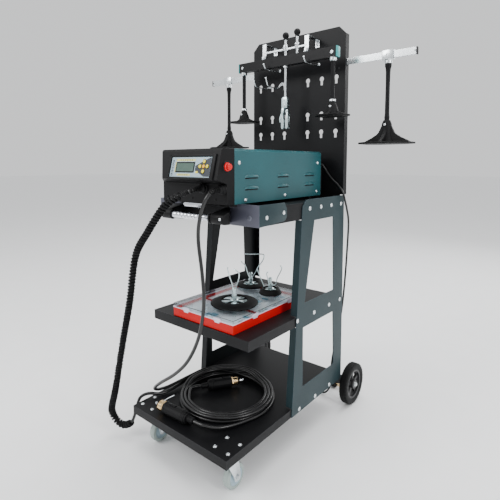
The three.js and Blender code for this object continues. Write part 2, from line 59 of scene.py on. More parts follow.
# Places shared by several pieces, in millimetres, as seen on the right where there are two.
SIDES = (("left", -1), ("right", 1))
SHELVES = ((112, 131, -618), (396, 419, -528), (730, 774, -487))  # bottom, top and front of each shelf's lip
SHELF_BOLTS = (
    (757, (-230, -161, -92, -23)),
    (412, (-295, -196, -97, -20)),
    (120, (-280, -183, -87)),
)
PANEL_FACE = 203.4
BOARD_FACE = -8.2
CASTER_X, CASTER_Y = 160, -570
WHEEL_X, WHEEL_Y, WHEEL_Z = 222, 50, 75
HANDLE_Y, HANDLE_Z = -545, 747
BAR_Y, BAR_Z, LEG_X = 3, 1248, 350
BEAM_Y, BEAM_Z, POST_X = -80, 1266, 194
ROD_X, SCREW_X = 2, 51
COVER_SIDES = ((-1, -118), (1, 142))
FACE_Y, FACE_Z = -588, 855
WELDER_REAR = -56
KEY_X, KEY_Z, KEY_STEP = 88, 891, 13.5
KEYS = {"up": (0, 1), "down": (0, -1), "left": (-1, 0), "right": (1, 0), "ok": (0, 0)}
KNOB = (142, -548, 889)
CASE = (-110, 140, -523, -173)  # left, right, front and rear


# The main view, from the front and the right.
VIEWPOINT = at(897, -1368, 899)
VIEW_ANGLES = (85, 0, 39.5)  # degrees
LENS = 30.4
SENSOR = 36
VIEW_SHIFT = -0.1


def make_camera():
    data = bpy.data.cameras.new("camera")
    data.lens = LENS
    data.sensor_width = SENSOR
    data.shift_y = VIEW_SHIFT
    data.clip_end = 100
    camera = bpy.data.objects.new("camera", data)
    bpy.context.scene.collection.objects.link(camera)
    camera.location = VIEWPOINT
    camera.rotation_euler = [math.radians(angle) for angle in VIEW_ANGLES]
    bpy.context.scene.camera = camera


# Mesh helpers.
def place(name, mesh, body, material=None, sharp=35):
    obj = bpy.data.objects.new(name, mesh)
    bpy.context.scene.collection.objects.link(obj)
    mesh.shade_smooth()
    mesh.set_sharp_from_angle(angle=math.radians(sharp))
    if material:
        mesh.materials.append(material)
    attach(obj, body)
    return obj


def mesh_of(name, bm):
    bmesh.ops.recalc_face_normals(bm, faces=bm.faces)
    mesh = bpy.data.meshes.new(name)
    bm.to_mesh(mesh)
    bm.free()
    return mesh


def soften(bm, width, segments=2, angle=25):
    edges = [e for e in bm.edges if len(e.link_faces) == 2 and e.calc_face_angle(0) > math.radians(angle)]
    if width > 0 and edges:
        bmesh.ops.bevel(
            bm, geom=edges, offset=width, segments=segments, affect="EDGES", profile=0.5, clamp_overlap=True
        )


def basis(axis):
    axis = Vector(axis).normalized()
    side = axis.cross(UP if abs(axis.z) < 0.9 else Vector(Y)).normalized()
    return side, axis.cross(side), axis


def smooth_path(points, per_segment=8):
    """Points along a Catmull-Rom curve through the given ones."""
    ends = [points[0] * 2 - points[1]] + list(points) + [points[-1] * 2 - points[-2]]
    path = []
    for a, b, c, d in zip(ends, ends[1:], ends[2:], ends[3:]):
        for i in range(per_segment):
            t = i / per_segment
            square = (2 * a - 5 * b + 4 * c - d) * t**2
            cube = (3 * b - a - 3 * c + d) * t**3
            path.append(0.5 * (2 * b + (c - a) * t + square + cube))
    path.append(points[-1])
    return path


def wire(name, points, radius, body, material):
    """A round wire or cable along points, as one open spline; radius is in millimetres."""
    path = smooth_path(points)
    data = bpy.data.curves.new(name, "CURVE")
    data.dimensions = "3D"
    data.bevel_depth = radius * MM
    data.bevel_resolution = 5
    data.use_fill_caps = True
    spline = data.splines.new("POLY")
    spline.points.add(len(path) - 1)
    for point, p in zip(spline.points, path):
        point.co = (*p, 1)
    spline.use_smooth = True
    data.materials.append(material)
    obj = bpy.data.objects.new(name, data)
    bpy.context.scene.collection.objects.link(obj)
    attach(obj, body)
    return obj


# Materials: each is a Principled shader with procedural colour variation, roughness and bump.
class Mat:
    def __init__(self, name):
        self.material = bpy.data.materials.new(name)
        self.material.use_nodes = True
        self.tree = self.material.node_tree
        self.shader = self.tree.nodes["Principled BSDF"]
        coords = self.tree.nodes.new("ShaderNodeTexCoord")
        self.coords = coords.outputs["Object"]

    def node(self, kind, **values):
        node = self.tree.nodes.new(kind)
        for key, value in values.items():
            if key in node.inputs:
                node.inputs[key].default_value = value
            else:
                setattr(node, key, value)
        return node

    def link(self, output, target):
        self.tree.links.new(output, target)

    def noise(self, scale, detail=4.0, stretch=None):
        noise = self.node("ShaderNodeTexNoise", Scale=scale, Detail=detail)
        if stretch:
            mapping = self.node("ShaderNodeMapping", Scale=stretch)
            self.link(self.coords, mapping.inputs["Vector"])
            self.link(mapping.outputs["Vector"], noise.inputs["Vector"])
        else:
            self.link(self.coords, noise.inputs["Vector"])
        return noise.outputs["Fac"]

    def ramp(self, source, stops):
        ramp = self.node("ShaderNodeValToRGB")
        elements = ramp.color_ramp.elements
        while len(elements) < len(stops):
            elements.new(0.5)
        for element, (position, colour) in zip(elements, stops):
            element.position = position
            element.color = (*colour, 1)
        self.link(source, ramp.inputs["Fac"])
        return ramp.outputs["Color"]

    def span(self, source, low, high, from_low=0.3, from_high=0.7):
        ranged = self.node("ShaderNodeMapRange")
        ranged.inputs["From Min"].default_value = from_low
        ranged.inputs["From Max"].default_value = from_high
        ranged.inputs["To Min"].default_value = low
        ranged.inputs["To Max"].default_value = high
        self.link(source, ranged.inputs["Value"])
        return ranged.outputs["Result"]

    def edge_mask(self, radius):
        """Near 1 along convex edges, from the difference between a rounded normal and the true one."""
        bevel = self.node("ShaderNodeBevel", samples=4, Radius=radius)
        geometry = self.node("ShaderNodeNewGeometry")
        dot = self.node("ShaderNodeVectorMath", operation="DOT_PRODUCT")
        self.link(bevel.outputs["Normal"], dot.inputs[0])
        self.link(geometry.outputs["Normal"], dot.inputs[1])
        return self.span(dot.outputs["Value"], 1, 0, 0.86, 0.995)

    def bump(self, source, strength, distance, rounding=0.0006):
        bump = self.node("ShaderNodeBump", Strength=strength, Distance=distance)
        self.link(source, bump.inputs["Height"])
        if rounding:
            bevel = self.node("ShaderNodeBevel", samples=4, Radius=rounding)
            self.link(bevel.outputs["Normal"], bump.inputs["Normal"])
        self.link(bump.outputs["Normal"], self.shader.inputs["Normal"])


def shade(colour, factor):
    return tuple(min(1, c * factor) for c in colour)


def surface(
    name, colour, rough, metal=0.0, grain=300, bump=0.15, depth=0.0002, vary=0.12, worn=None, **more
):
    """Paint, plastic or rubber: cloudy colour, uneven gloss, fine grain, and paler edges with worn."""
    mat = Mat(name)
    cloud = mat.noise(9)
    fine = mat.noise(grain, 6)
    stops = [(0.3, shade(colour, 1 - vary)), (0.7, shade(colour, 1 + vary))]
    base = mat.ramp(cloud, stops)
    if worn:
        mix = mat.node("ShaderNodeMix", data_type="RGBA")
        patchy = mat.node("ShaderNodeMath", operation="MULTIPLY")
        mat.link(mat.edge_mask(0.0011), patchy.inputs[0])
        mat.link(mat.span(mat.noise(60), 0.15, 0.9), patchy.inputs[1])
        mat.link(patchy.outputs[0], mix.inputs["Factor"])
        mat.link(base, mix.inputs["A"])
        mix.inputs["B"].default_value = (*worn, 1)
        base = mix.outputs["Result"]
    mat.link(base, mat.shader.inputs["Base Color"])
    mat.link(mat.span(fine, rough - 0.07, rough + 0.09), mat.shader.inputs["Roughness"])
    mat.shader.inputs["Metallic"].default_value = metal
    for key, value in more.items():
        mat.shader.inputs[key.replace("_", " ")].default_value = value
    mat.bump(fine, bump, depth)
    return mat.material


def plated(name, colour, rough, stretch=(1, 1, 1), grain=160, bump=0.08):
    """Bright plated or polished metal with drawn grain and faint stains."""
    mat = Mat(name)
    drawn = mat.noise(grain, 5, stretch)
    stain = mat.noise(24)
    mat.link(mat.ramp(stain, [(0.3, shade(colour, 0.82)), (0.65, colour)]), mat.shader.inputs["Base Color"])
    mat.link(mat.span(drawn, rough - 0.08, rough + 0.12), mat.shader.inputs["Roughness"])
    mat.shader.inputs["Metallic"].default_value = 1.0
    mat.bump(drawn, bump, 0.0001)
    return mat.material


def clear_plastic(name):
    """A clear lid: thin, slightly blue, with faint moulding ripples."""
    mat = Mat(name)
    ripple = mat.noise(14)
    mat.link(mat.ramp(ripple, [(0.3, (0.86, 0.92, 0.95)), (0.7, (0.95, 0.98, 1))]),
             mat.shader.inputs["Base Color"])
    mat.link(mat.span(ripple, 0.05, 0.14), mat.shader.inputs["Roughness"])
    mat.shader.inputs["Transmission Weight"].default_value = 1.0
    mat.shader.inputs["IOR"].default_value = 1.2
    mat.bump(ripple, 0.1, 0.0008, 0)
    return mat.material


def screen_glass(name):
    """The unlit character display: grey-green with faint rows of cells."""
    mat = Mat(name)
    wave = mat.node("ShaderNodeTexWave", Scale=190.0, Distortion=0.0, bands_direction="X")
    mat.link(mat.coords, wave.inputs["Vector"])
    stops = [(0.0, (0.04, 0.085, 0.065)), (1.0, (0.06, 0.115, 0.088))]
    mat.link(mat.ramp(wave.outputs["Fac"], stops), mat.shader.inputs["Base Color"])
    mat.link(mat.span(mat.noise(40), 0.12, 0.25), mat.shader.inputs["Roughness"])
    mat.shader.inputs["Coat Weight"].default_value = 0.6
    mat.bump(wave.outputs["Fac"], 0.05, 0.0001, 0)
    return mat.material


def make_materials():
    edge = (0.09, 0.095, 0.11)
    matt = {"Specular_IOR_Level": 0.18}
    return {
        "shelf": surface("shelf_paint", (0.0045, 0.0046, 0.0054), 0.45, 0.0, 500, 0.3, worn=edge, **matt),
        # The two side panels share one near-black paint: the left panel's darker copy is painted shade, and
        # the right panel's teal tint is painted reflection, also used on the rail plates.
        "left": surface("panel_shaded_left", (0.0045, 0.006, 0.007), 0.42, 0.0, 420, 0.3, worn=edge, **matt),
        "teal": surface("panel_paint", (0.018, 0.034, 0.039), 0.4, 0.0, 420, 0.3, worn=(0.14, 0.2, 0.25),
                        **matt),
        "slate": surface("bracket_paint", (0.058, 0.06, 0.085), 0.38, 0.1, 420, 0.25,
                         worn=(0.35, 0.38, 0.45)),
        "frame": surface("frame_black", (0.0035, 0.0035, 0.0042), 0.42, 0.0, 350, 0.2,
                         worn=(0.06, 0.06, 0.07), **matt),
        "cover": surface("cover_enamel", (0.01, 0.078, 0.09), 0.33, 0.1, 380, 0.2, worn=(0.1, 0.45, 0.5)),
        "plastic": surface("moulded_black", (0.0035, 0.0035, 0.004), 0.5, 0.0, 900, 0.45,
                           worn=(0.03, 0.03, 0.032), **matt),
        "rubber": surface("rubber_black", (0.003, 0.003, 0.0034), 0.6, 0.0, 500, 0.5, 0.0003, **matt),
        "cable": surface("cable_jacket", (0.005, 0.005, 0.0055), 0.3, 0.0, 700, 0.25),
        "red": surface("box_red", (0.5, 0.001, 0.002), 0.35, 0.0, 250, 0.1, vary=0.06, **matt),
        "knob": surface("knob_red", (0.62, 0.001, 0.003), 0.3, 0.0, 300, 0.1, vary=0.05),
        "silver": surface("panel_silver", (0.36, 0.47, 0.53), 0.34, 0.35, 300, 0.08, vary=0.1),
        "dark": surface("panel_dark", (0.012, 0.018, 0.03), 0.4, 0.0, 300, 0.1),
        "yellow": surface("button_yellow", (0.8, 0.68, 0.035), 0.38, 0.0, 300, 0.1, vary=0.05),
        "orange": surface("button_orange", (0.82, 0.42, 0.02), 0.38, 0.0, 300, 0.1, vary=0.05),
        "cream": surface("panel_cream", (0.7, 0.66, 0.22), 0.45, 0.0, 300, 0.1, vary=0.05),
        "hub": surface("hub_grey", (0.014, 0.014, 0.015), 0.4, 0.1, 350, 0.2, worn=(0.08, 0.08, 0.09)),
        "tread": surface("caster_tread", (0.3, 0.36, 0.34), 0.3, 0.0, 300, 0.1),
        "zinc": plated("zinc_plate", (0.8, 0.84, 0.86), 0.24, (1, 1, 6)),
        "chrome": plated("handle_chrome", (0.78, 0.8, 0.86), 0.14, (0.2, 6, 6)),
        "steel": plated("clamp_steel", (0.7, 0.84, 0.86), 0.26, (1, 1, 5)),
        "brass": plated("nozzle_brass", (0.86, 0.62, 0.32), 0.22),
        "foam": surface("insert_white", (0.8, 0.86, 0.92), 0.6, 0.0, 120, 0.4, 0.0005),
        "tab": surface("pull_tab_blue", (0.16, 0.42, 0.56), 0.35, 0.0, 260, 0.1),
        "lid_rim": surface("lid_rim", (0.62, 0.56, 0.66), 0.2, 0.0, 260, 0.1),
        "teal_cap": surface("cap_teal", (0.01, 0.3, 0.3), 0.35, 0.0, 300, 0.1),
        "clear": clear_plastic("case_clear"),
        "screen": screen_glass("screen"),
    }


class Form:
    """Gathers closed shapes into one piece; every point is in millimetres."""

    def __init__(self, matrix=None):
        self.bm = bmesh.new()
        self.matrix = matrix

    def take(self, part):
        if self.matrix:
            bmesh.ops.transform(part, matrix=self.matrix, verts=part.verts)
        bmesh.ops.recalc_face_normals(part, faces=part.faces)
        mesh = bpy.data.meshes.new("part")
        part.to_mesh(mesh)
        part.free()
        self.bm.from_mesh(mesh)
        bpy.data.meshes.remove(mesh)

    def turn(self, profile, centre, axis, steps=32):
        """Turns (radius, height) pairs round an axis; a profile ending where it starts is a ring."""
        u, v, w = basis(axis)
        origin = at(*centre)
        part = bmesh.new()
        rings = []
        for radius, height in profile:
            middle = origin + w * height * MM
            if radius < 1e-6:
                rings.append([part.verts.new(middle)])
                continue
            ring = []
            for i in range(steps):
                a = 2 * math.pi * i / steps
                ring.append(part.verts.new(middle + (u * math.cos(a) + v * math.sin(a)) * radius * MM))
            rings.append(ring)
        for low, high in zip(rings, rings[1:]):
            for i in range(steps):
                j = (i + 1) % steps
                corners = [low[i % len(low)], low[j % len(low)], high[j % len(high)], high[i % len(high)]]
                corners = list(dict.fromkeys(corners))
                if len(corners) > 2:
                    part.faces.new(corners)
        if profile[0] == profile[-1]:
            bmesh.ops.remove_doubles(part, verts=part.verts, dist=1e-7)
        else:
            for ring in (rings[0], rings[-1]):
                if len(ring) > 1:
                    part.faces.new(ring)
        self.take(part)

    def block(self, low, high, bevel=1.0, segments=2):
        part = bmesh.new()
        bmesh.ops.create_cube(part, size=1)
        a, b = at(*low), at(*high)
        bmesh.ops.scale(part, vec=b - a, verts=part.verts)
        bmesh.ops.translate(part, vec=(a + b) / 2, verts=part.verts)
        soften(part, bevel * MM, segments)
        self.take(part)

    def slab(self, outline, plane, start, end, bevel=0.6, segments=2):
        """Extrudes an outline drawn in the plane at right angles to the named axis."""
        def corner(a, b, c):
            return at(*{"x": (c, a, b), "y": (a, c, b), "z": (a, b, c)}[plane])

        part = bmesh.new()
        low = [part.verts.new(corner(a, b, start)) for a, b in outline]
        high = [part.verts.new(corner(a, b, end)) for a, b in outline]
        part.faces.new(low)
        part.faces.new(high)
        count = len(outline)
        for i in range(count):
            j = (i + 1) % count
            part.faces.new((low[i], low[j], high[j], high[i]))
        bmesh.ops.recalc_face_normals(part, faces=part.faces)
        soften(part, bevel * MM, segments)
        self.take(part)

    def tube(self, points, radius, sides=12, per_segment=6):
        """A round bar swept along a smooth path; radius is a number or a function of the share travelled."""
        path = smooth_path([at(*p) for p in points],
                           per_segment) if per_segment else [at(*p) for p in points]
        part = bmesh.new()
        rings = []
        normal = None
        for i, p in enumerate(path):
            tangent = (path[min(i + 1, len(path) - 1)] - path[max(i - 1, 0)]).normalized()
            if normal is None:
                normal = basis(tangent)[0]
            normal = (normal - tangent * normal.dot(tangent)).normalized()
            other = tangent.cross(normal)
            size = (radius(i / (len(path) - 1)) if callable(radius) else radius) * MM
            ring = []
            for k in range(sides):
                a = 2 * math.pi * k / sides
                ring.append(part.verts.new(p + (normal * math.cos(a) + other * math.sin(a)) * size))
            rings.append(ring)
        for low, high in zip(rings, rings[1:]):
            for k in range(sides):
                j = (k + 1) % sides
                part.faces.new((low[k], low[j], high[j], high[k]))
        part.faces.new(rings[0])
        part.faces.new(rings[-1])
        self.take(part)

    def bolt(self, centre, axis, radius, height=None, washer=1.35, recess=True):
        """A domed head on a washer, with a socket in it."""
        height = height or radius * 0.55
        profile = [(0, -0.4)]
        if washer:
            profile += [(radius * washer, -0.4), (radius * washer, 0.5), (radius * (washer - 0.1), 0.9)]
            base = 0.9
        else:
            profile += [(radius, -0.4)]
            base = 0
        for k in range(5):
            a = math.radians(15 * k)
            profile.append((radius * math.cos(a), base + height * math.sin(a)))
        top = base + height * math.sin(math.radians(60))
        if recess:
            profile += [(radius * 0.42, top + 0.05), (radius * 0.38, top - height * 0.45),
                        (0, top - height * 0.45)]
        else:
            profile += [(0, top + height * 0.12)]
        self.turn(profile, centre, axis, 20)

    def nut(self, centre, axis, radius, height, bore=0):
        """A hexagonal nut with chamfered corners."""
        u, v, w = basis(axis)
        origin = at(*centre)
        part = bmesh.new()
        rings = []
        for share, level in ((0.93, 0), (1, 0.08), (1, 0.92), (0.93, 1)):
            ring = []
            for i in range(6):
                a = math.pi * i / 3
                spot = origin + w * level * height * MM
                ring.append(part.verts.new(spot + (u * math.cos(a) + v * math.sin(a)) * radius * share * MM))
            rings.append(ring)
        for low, high in zip(rings, rings[1:]):
            for i in range(6):
                part.faces.new((low[i], low[(i + 1) % 6], high[(i + 1) % 6], high[i]))
        part.faces.new(rings[0])
        part.faces.new(rings[-1])
        self.take(part)

    def done(self, name, body, material, replaces=(), sharp=32):
        mesh = bpy.data.meshes.new(name)
        self.bm.to_mesh(mesh)
        self.bm.free()
        obj = place(name, mesh, body, material, sharp)
        if replaces:
            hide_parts(*replaces)
        return obj


def round_rect(x0, x1, y0, y1, radius, steps=5):
    outline = []
    corners = [(x1 - radius, y1 - radius, 0), (x0 + radius, y1 - radius, 90),
               (x0 + radius, y0 + radius, 180),
               (x1 - radius, y0 + radius, 270)]
    for cx, cy, start in corners:
        for k in range(steps + 1):
            a = math.radians(start + 90 * k / steps)
            outline.append((cx + radius * math.cos(a), cy + radius * math.sin(a)))
    return outline


def trolley_trim(mats):
    """Bolts, corner brackets, caster plates, the cross bar's clamps and the shelves' corner welds."""
    bolts = Form()
    for _, side in SIDES:
        for z, depths in SHELF_BOLTS:
            for y in depths:
                bolts.bolt((side * PANEL_FACE, y, z), (side, 0, 0), 5.2)
        for y, z in ((-457, 750), (-376, 757)):
            bolts.bolt((side * 205.9, y, z), (side, 0, 0), 4.6)
        for dx in (-24, 24):
            for dy in (-24, 24):
                bolts.bolt((side * CASTER_X + dx, CASTER_Y + dy, 134.3), Z, 4.4)
    bolts.done("shelf_bolts", "root", mats["zinc"])

    fronts = Form()
    flanks = Form()
    rail = [(-489.8, 726), (-373, 732), (-361, 742), (-361, 768), (-372, 786), (-489.8, 786)]
    for _, side in SIDES:
        x0, x1 = sorted((side * 98, side * 205.6))
        fronts.block((x0, -490, 725), (x1, -487.4, 786), 0.9)
        fronts.bolt((side * 171, -490.2, 749), FRONT, 5.2)
        flanks.slab(rail, "x", side * 203.3, side * 205.8, 0.5)
    fronts.done("corner_bracket_fronts", "root", mats["slate"])
    flanks.done("corner_bracket_flanks", "root", mats["teal"])

    plates = Form()
    for _, side in SIDES:
        x, half = side * CASTER_X, 32
        outline = round_rect(x - half, x + half, CASTER_Y - half, CASTER_Y + half, 6)
        plates.slab(outline, "z", 124.6, 130.6, 0.7)
    plates.done("caster_plates", "root", mats["zinc"])

    clamps = Form()
    for _, side in SIDES:
        x0, x1 = sorted((side * 160, side * 196))
        middle = (x0 + x1) / 2
        clamps.block((x0, BAR_Y + 6.2, BAR_Z - 18), (x1, BAR_Y + 9.4, BAR_Z + 18), 0.9)
        clamps.block((x0, BAR_Y - 8.2, BAR_Z + 11.8), (x1, BAR_Y + 9, BAR_Z + 15), 0.9)
        clamps.block((x0, BAR_Y - 8.2, BAR_Z - 15), (x1, BAR_Y + 9, BAR_Z - 11.8), 0.9)
        clamps.bolt((middle, BAR_Y + 9.4, BAR_Z), Y, 4.5)
        for z in (BAR_Z - 22, BAR_Z + 22):
            clamps.bolt((middle, BOARD_FACE, z), FRONT, 3.4)
    clamps.done("bar_clamps", "root", mats["frame"])

    seams = Form()
    for low, high, front in SHELVES:
        seams.block((198.4, front + 0.4, low), (200.2, front + 2.2, high), 0.5)
        seams.block((-200.2, front + 0.4, low), (-198.4, front + 2.2, high), 0.5)
    seams.done("shelf_corner_welds", "root", mats["frame"])


def wheel(mats, name, side):
    """Rear wheel: grooved rubber tyre on a spoked hub."""
    centre = (side * WHEEL_X, WHEEL_Y, WHEEL_Z)
    axis = (side, 0, 0)
    half = [(52, 12.5), (57, 14.3), (66, 15), (71.5, 13.2), (73.6, 10), (74.4, 6.5), (73.2, 6), (73.2, 5),
            (74.8, 4.4),
            (74.8, 1.4), (73.4, 0.9)]
    profile = half + [(r, -h) for r, h in reversed(half)]
    tyre = Form()
    tyre.turn(profile + [profile[0]], centre, axis, 72)
    for k in range(36):
        a = 2 * math.pi * (k + 0.5) / 36
        c, s = math.cos(a), math.sin(a)
        for sign in (-1, 1):
            x = centre[0] + sign * 10.2
            spot = (x, centre[1] + c * 73.4, centre[2] + s * 73.4)
            tyre.tube([(spot[0] - 2.6, spot[1], spot[2]), (spot[0] + 2.6, spot[1], spot[2])], 1.3, 6, 0)
    tyre.done(name + "_tyre", name, mats["rubber"], [name])
    hub = Form()
    hub.turn([(46, -11), (52.3, -12.2), (52.3, 12.2), (46, 11), (46, 4), (44, 3), (44, -3), (46, -4),
              (46, -11)],
             centre, axis, 56)
    hub.turn([(6.8, -15), (15, -15), (17, -13), (18, 0), (17, 13), (15, 15), (6.8, 15), (6.8, -15)], centre,
             axis, 40)
    for k in range(5):
        a = 2 * math.pi * k / 5 + 0.3
        c, s = math.cos(a), math.sin(a)
        points = [(15, -8), (15, 8), (30, 6), (45.5, 8.5), (45.5, -8.5), (30, -6)]
        outline = [(centre[1] + r * c - t * s, centre[2] + r * s + t * c) for r, t in points]
        hub.slab(outline, "x", centre[0] - 5, centre[0] + 5, 1.6, 3)
    hub.done(name + "_hub", name, mats["hub"])
    cap = Form()
    cap.turn([(0, 10), (9.5, 10), (9.5, 13), (8.5, 14), (8, 17.5), (5.5, 19.5), (0, 20)], centre, axis, 28)
    cap.done(name + "_cap", name, mats["zinc"])


def caster(mats, name, side):
    """Swivel caster: ball race and bent fork, and a pale wheel with a domed tread."""
    x, y, wy, wz = side * CASTER_X, CASTER_Y, -546, 36
    fork = Form()
    fork.turn([(0, 124), (24, 124), (26, 122), (26, 118.5), (24.5, 117), (25, 115.5), (25, 112), (20, 109.5),
               (0, 109.5)], (x, y, 0), Z, 40)
    fork.block((x - 16.4, y - 17, 106), (x + 16.4, y + 19, 110), 1.5)
    leg = [(y - 18, 109.6), (y + 19, 109.6), (y + 27, 96), (wy + 13, 40), (wy + 10, 28), (wy, 23.5),
           (wy - 11, 29),
           (wy - 15, 44), (y - 19, 97)]
    for sign in (-1, 1):
        inner, outer = x + sign * 13.4, x + sign * 16.2
        fork.slab(leg, "x", min(inner, outer), max(inner, outer), 0.8)
        fork.nut((x + sign * 16, wy, wz), (sign, 0, 0), 7, 4.2)
        fork.turn([(0, 4), (3.4, 4), (3.4, 6), (2.6, 6.6), (0, 6.6)], (x + sign * 16, wy, wz), (sign, 0, 0),
                  16)
    fork.done(name.replace("caster_", "caster_fork_"), name, mats["zinc"],
              [name.replace("caster_", "caster_fork_")])
    wheel_name = name.replace("caster_", "caster_wheel_")
    centre = (x, wy, wz)
    tread = Form()
    half = [(25, 10.5), (30, 11), (33.5, 9.5), (35.4, 6), (35.9, 0)]
    profile = half + [(r, -h) for r, h in reversed(half[:-1])]
    tread.turn(profile + [profile[0]], centre, X, 48)
    tread.done(wheel_name + "_tread", wheel_name, mats["tread"], [wheel_name])
    core = Form()
    core.turn([(4.4, -11.6), (8, -11.6), (10, -9), (12, -7), (20, -6.4), (25.3, -9.6), (25.3, 9.6),
               (20, 6.4),
               (12, 7), (10, 9), (8, 11.6), (4.4, 11.6), (4.4, -11.6)], centre, X, 40)
    core.done(wheel_name + "_core", wheel_name, mats["silver"])


def handle(mats):
    y, z = HANDLE_Y, HANDLE_Z
    outline = [(-488, 731), (-549, 733), (-556, 739), (-558, 750), (-553, 760), (-541, 765), (-488, 774)]
    screws = Form()
    for name, side in SIDES:
        x0, x1 = sorted((side * 84, side * 136))
        bracket = Form()
        bracket.slab(outline, "x", x0, x1, 3.5, 4)
        shape = bracket.bm
        everything = shape.verts[:] + shape.edges[:] + shape.faces[:]
        spot = at(side * 137, y + 12, z)
        inward = at(side * 98, -487, z) - spot
        bmesh.ops.bisect_plane(
            shape, geom=everything, plane_co=spot, plane_no=Vector((side * inward.y, side * -inward.x * side,
                                                                    0)),
            clear_outer=True,
        )
        bmesh.ops.holes_fill(shape, edges=[e for e in shape.edges if e.is_boundary])
        bracket.turn([(10, 0), (14.5, 0), (14.5, 5), (12, 8), (10, 8), (10, 0)], (side * 84, y, z),
                     (-side, 0, 0), 32)
        bracket.done(f"handle_bracket_{name}", "root", mats["plastic"],
                     [f"handle_bracket_{name}"])
        screws.bolt((side * 124, -557.6, 749), FRONT, 4.2, washer=0)
    screws.done("handle_screws", "root", mats["zinc"])
    tube = Form()
    grooves = []
    for k in range(9):
        s = -60 + 15 * k
        grooves += [(9.5, s - 2), (9.1, s - 1), (9.1, s + 1), (9.5, s + 2)]
    profile = [(0, -82.6), (9.2, -82.6), (9.5, -80)] + grooves + [(9.5, 80), (9.2, 82.6), (0, 82.6)]
    tube.turn(profile, (0, y, z), X, 40)
    tube.done("handle_tube", "root", mats["chrome"], ["handle_tube"])
    bar_plate = Form()
    bar_plate.slab([(-33, 779), (-26, 774.5), (50, 774.5), (56, 778), (56, 783), (50, 786.4), (-26, 786.4),
                    (-33, 783)],
                   "y", -546, -541.5, 1.2, 3)
    bar_plate.done("bezel_bar", "root", mats["chrome"])


def foot(mats, name, x, y, top, low, half, deep, neck):
    """Ribbed rubber foot: a thin pad, two crossed ribs with shoulders, a hub and a bright pivot pin."""
    form = Form()
    pad = [(-half, -deep * 0.55), (-half * 0.55, -deep), (half * 0.55, -deep), (half, -deep * 0.55),
           (half, deep * 0.55), (half * 0.55, deep), (-half * 0.55, deep), (-half, deep * 0.55)]
    form.slab([(x + a, y + b) for a, b in pad], "z", low, low + 6, 1.8, 3)
    height = top - 12 - (low + 5)
    for reach, plane, thick in ((half - 5, "y", 6), (deep - 5, "x", 6)):
        shoulder = ((1, 0), (0.93, 0.07), (0.62, 0.26), (0.5, 0.36), (0.42, 0.42), (0.34, 0.52),
                    (0.24, 0.78), (0.16, 1))
        rising = [(reach * t, low + 5 + height * rise) for t, rise in shoulder]
        outline = rising + [(-a, b) for a, b in reversed(rising)]
        centre = x if plane == "y" else y
        across = y if plane == "y" else x
        form.slab([(centre + a, b) for a, b in outline], plane, across - thick, across + thick, 1.4, 2)
    form.turn([(0, low + 5), (neck + 17, low + 5), (neck + 15, low + 12), (neck + 10, low + 30),
               (neck + 8, top - 14), (neck + 5, top - 6), (neck + 3.5, top - 2), (neck + 0.6, top),
               (neck + 0.6, top - 5), (0, top - 5)], (x, y, 0), Z, 32)
    form.done(name, name, mats["rubber"], [name])
    pin = Form()
    level = top - 16
    reach = neck + 11
    pin.turn([(0, -reach), (3.2, -reach), (4, -reach + 1), (4, reach - 1), (3.2, reach), (0, reach)],
             (x, y, level), Y, 16)
    pin.done(name + "_pin", name, mats["zinc"])


def bar_legs(mats):
    y, z = BAR_Y, BAR_Z
    for name, side in SIDES:
        body = f"bar_leg_{name}"
        x = side * LEG_X
        sleeve = Form()
        sleeve.block((x - 19, y - 10.2, z - 15.2), (x + 19, y - 6.3, z + 15.2), 1)
        sleeve.block((x - 19, y + 6.3, z - 15.2), (x + 19, y + 10.2, z + 15.2), 1)
        sleeve.block((x - 19, y - 10, z + 11.3), (x + 19, y + 10, z + 15.2), 1)
        sleeve.block((x - 19, y - 10, z - 15.2), (x + 19, y + 10, z - 11.3), 1)
        sleeve.turn([(0, -26.8), (11, -26.8), (12, -25.6), (12, -18), (15, -14.5), (0, -14.5)], (x, y, z), Z,
                    32)
        sleeve.bolt((x, y - 10.2, z), FRONT, 4.4)
        sleeve.done(f"bar_sleeve_{name}", body, mats["zinc"], [f"bar_sleeve_{name}"])
        post = Form()
        post.turn([(0, 1026.4), (8, 1026.4), (8, 1044), (8.6, 1048), (7.2, 1060), (6.8, 1150), (7.4, 1195),
                   (8.6, 1206),
                   (10.6, 1212), (10.6, 1220.4), (0, 1220.4)], (x, y, 0), Z, 32)
        post.done(f"bar_post_{name}", body, mats["frame"], [f"bar_post_{name}"])
        foot(mats, f"bar_foot_{name}", x, y, 1040, 962, 84, 62, 8)
    bar_ends = Form()
    for _, side in SIDES:
        a, b = sorted((side * 443.4, side * 439))
        bar_ends.block((a - 0.01, y - 6.4, z - 11.4), (b + 0.01, y + 6.4, z + 11.4), 0.8)
        bar_ends.turn([(1.2, 0), (2.2, 0), (2.2, 0.8), (1.9, 1.2), (1.2, 1.2), (1.2, 0)],
                      (side * 436.6, y - 6, z),
                      FRONT, 20)
    bar_ends.done("bar_ends", "root", mats["frame"])


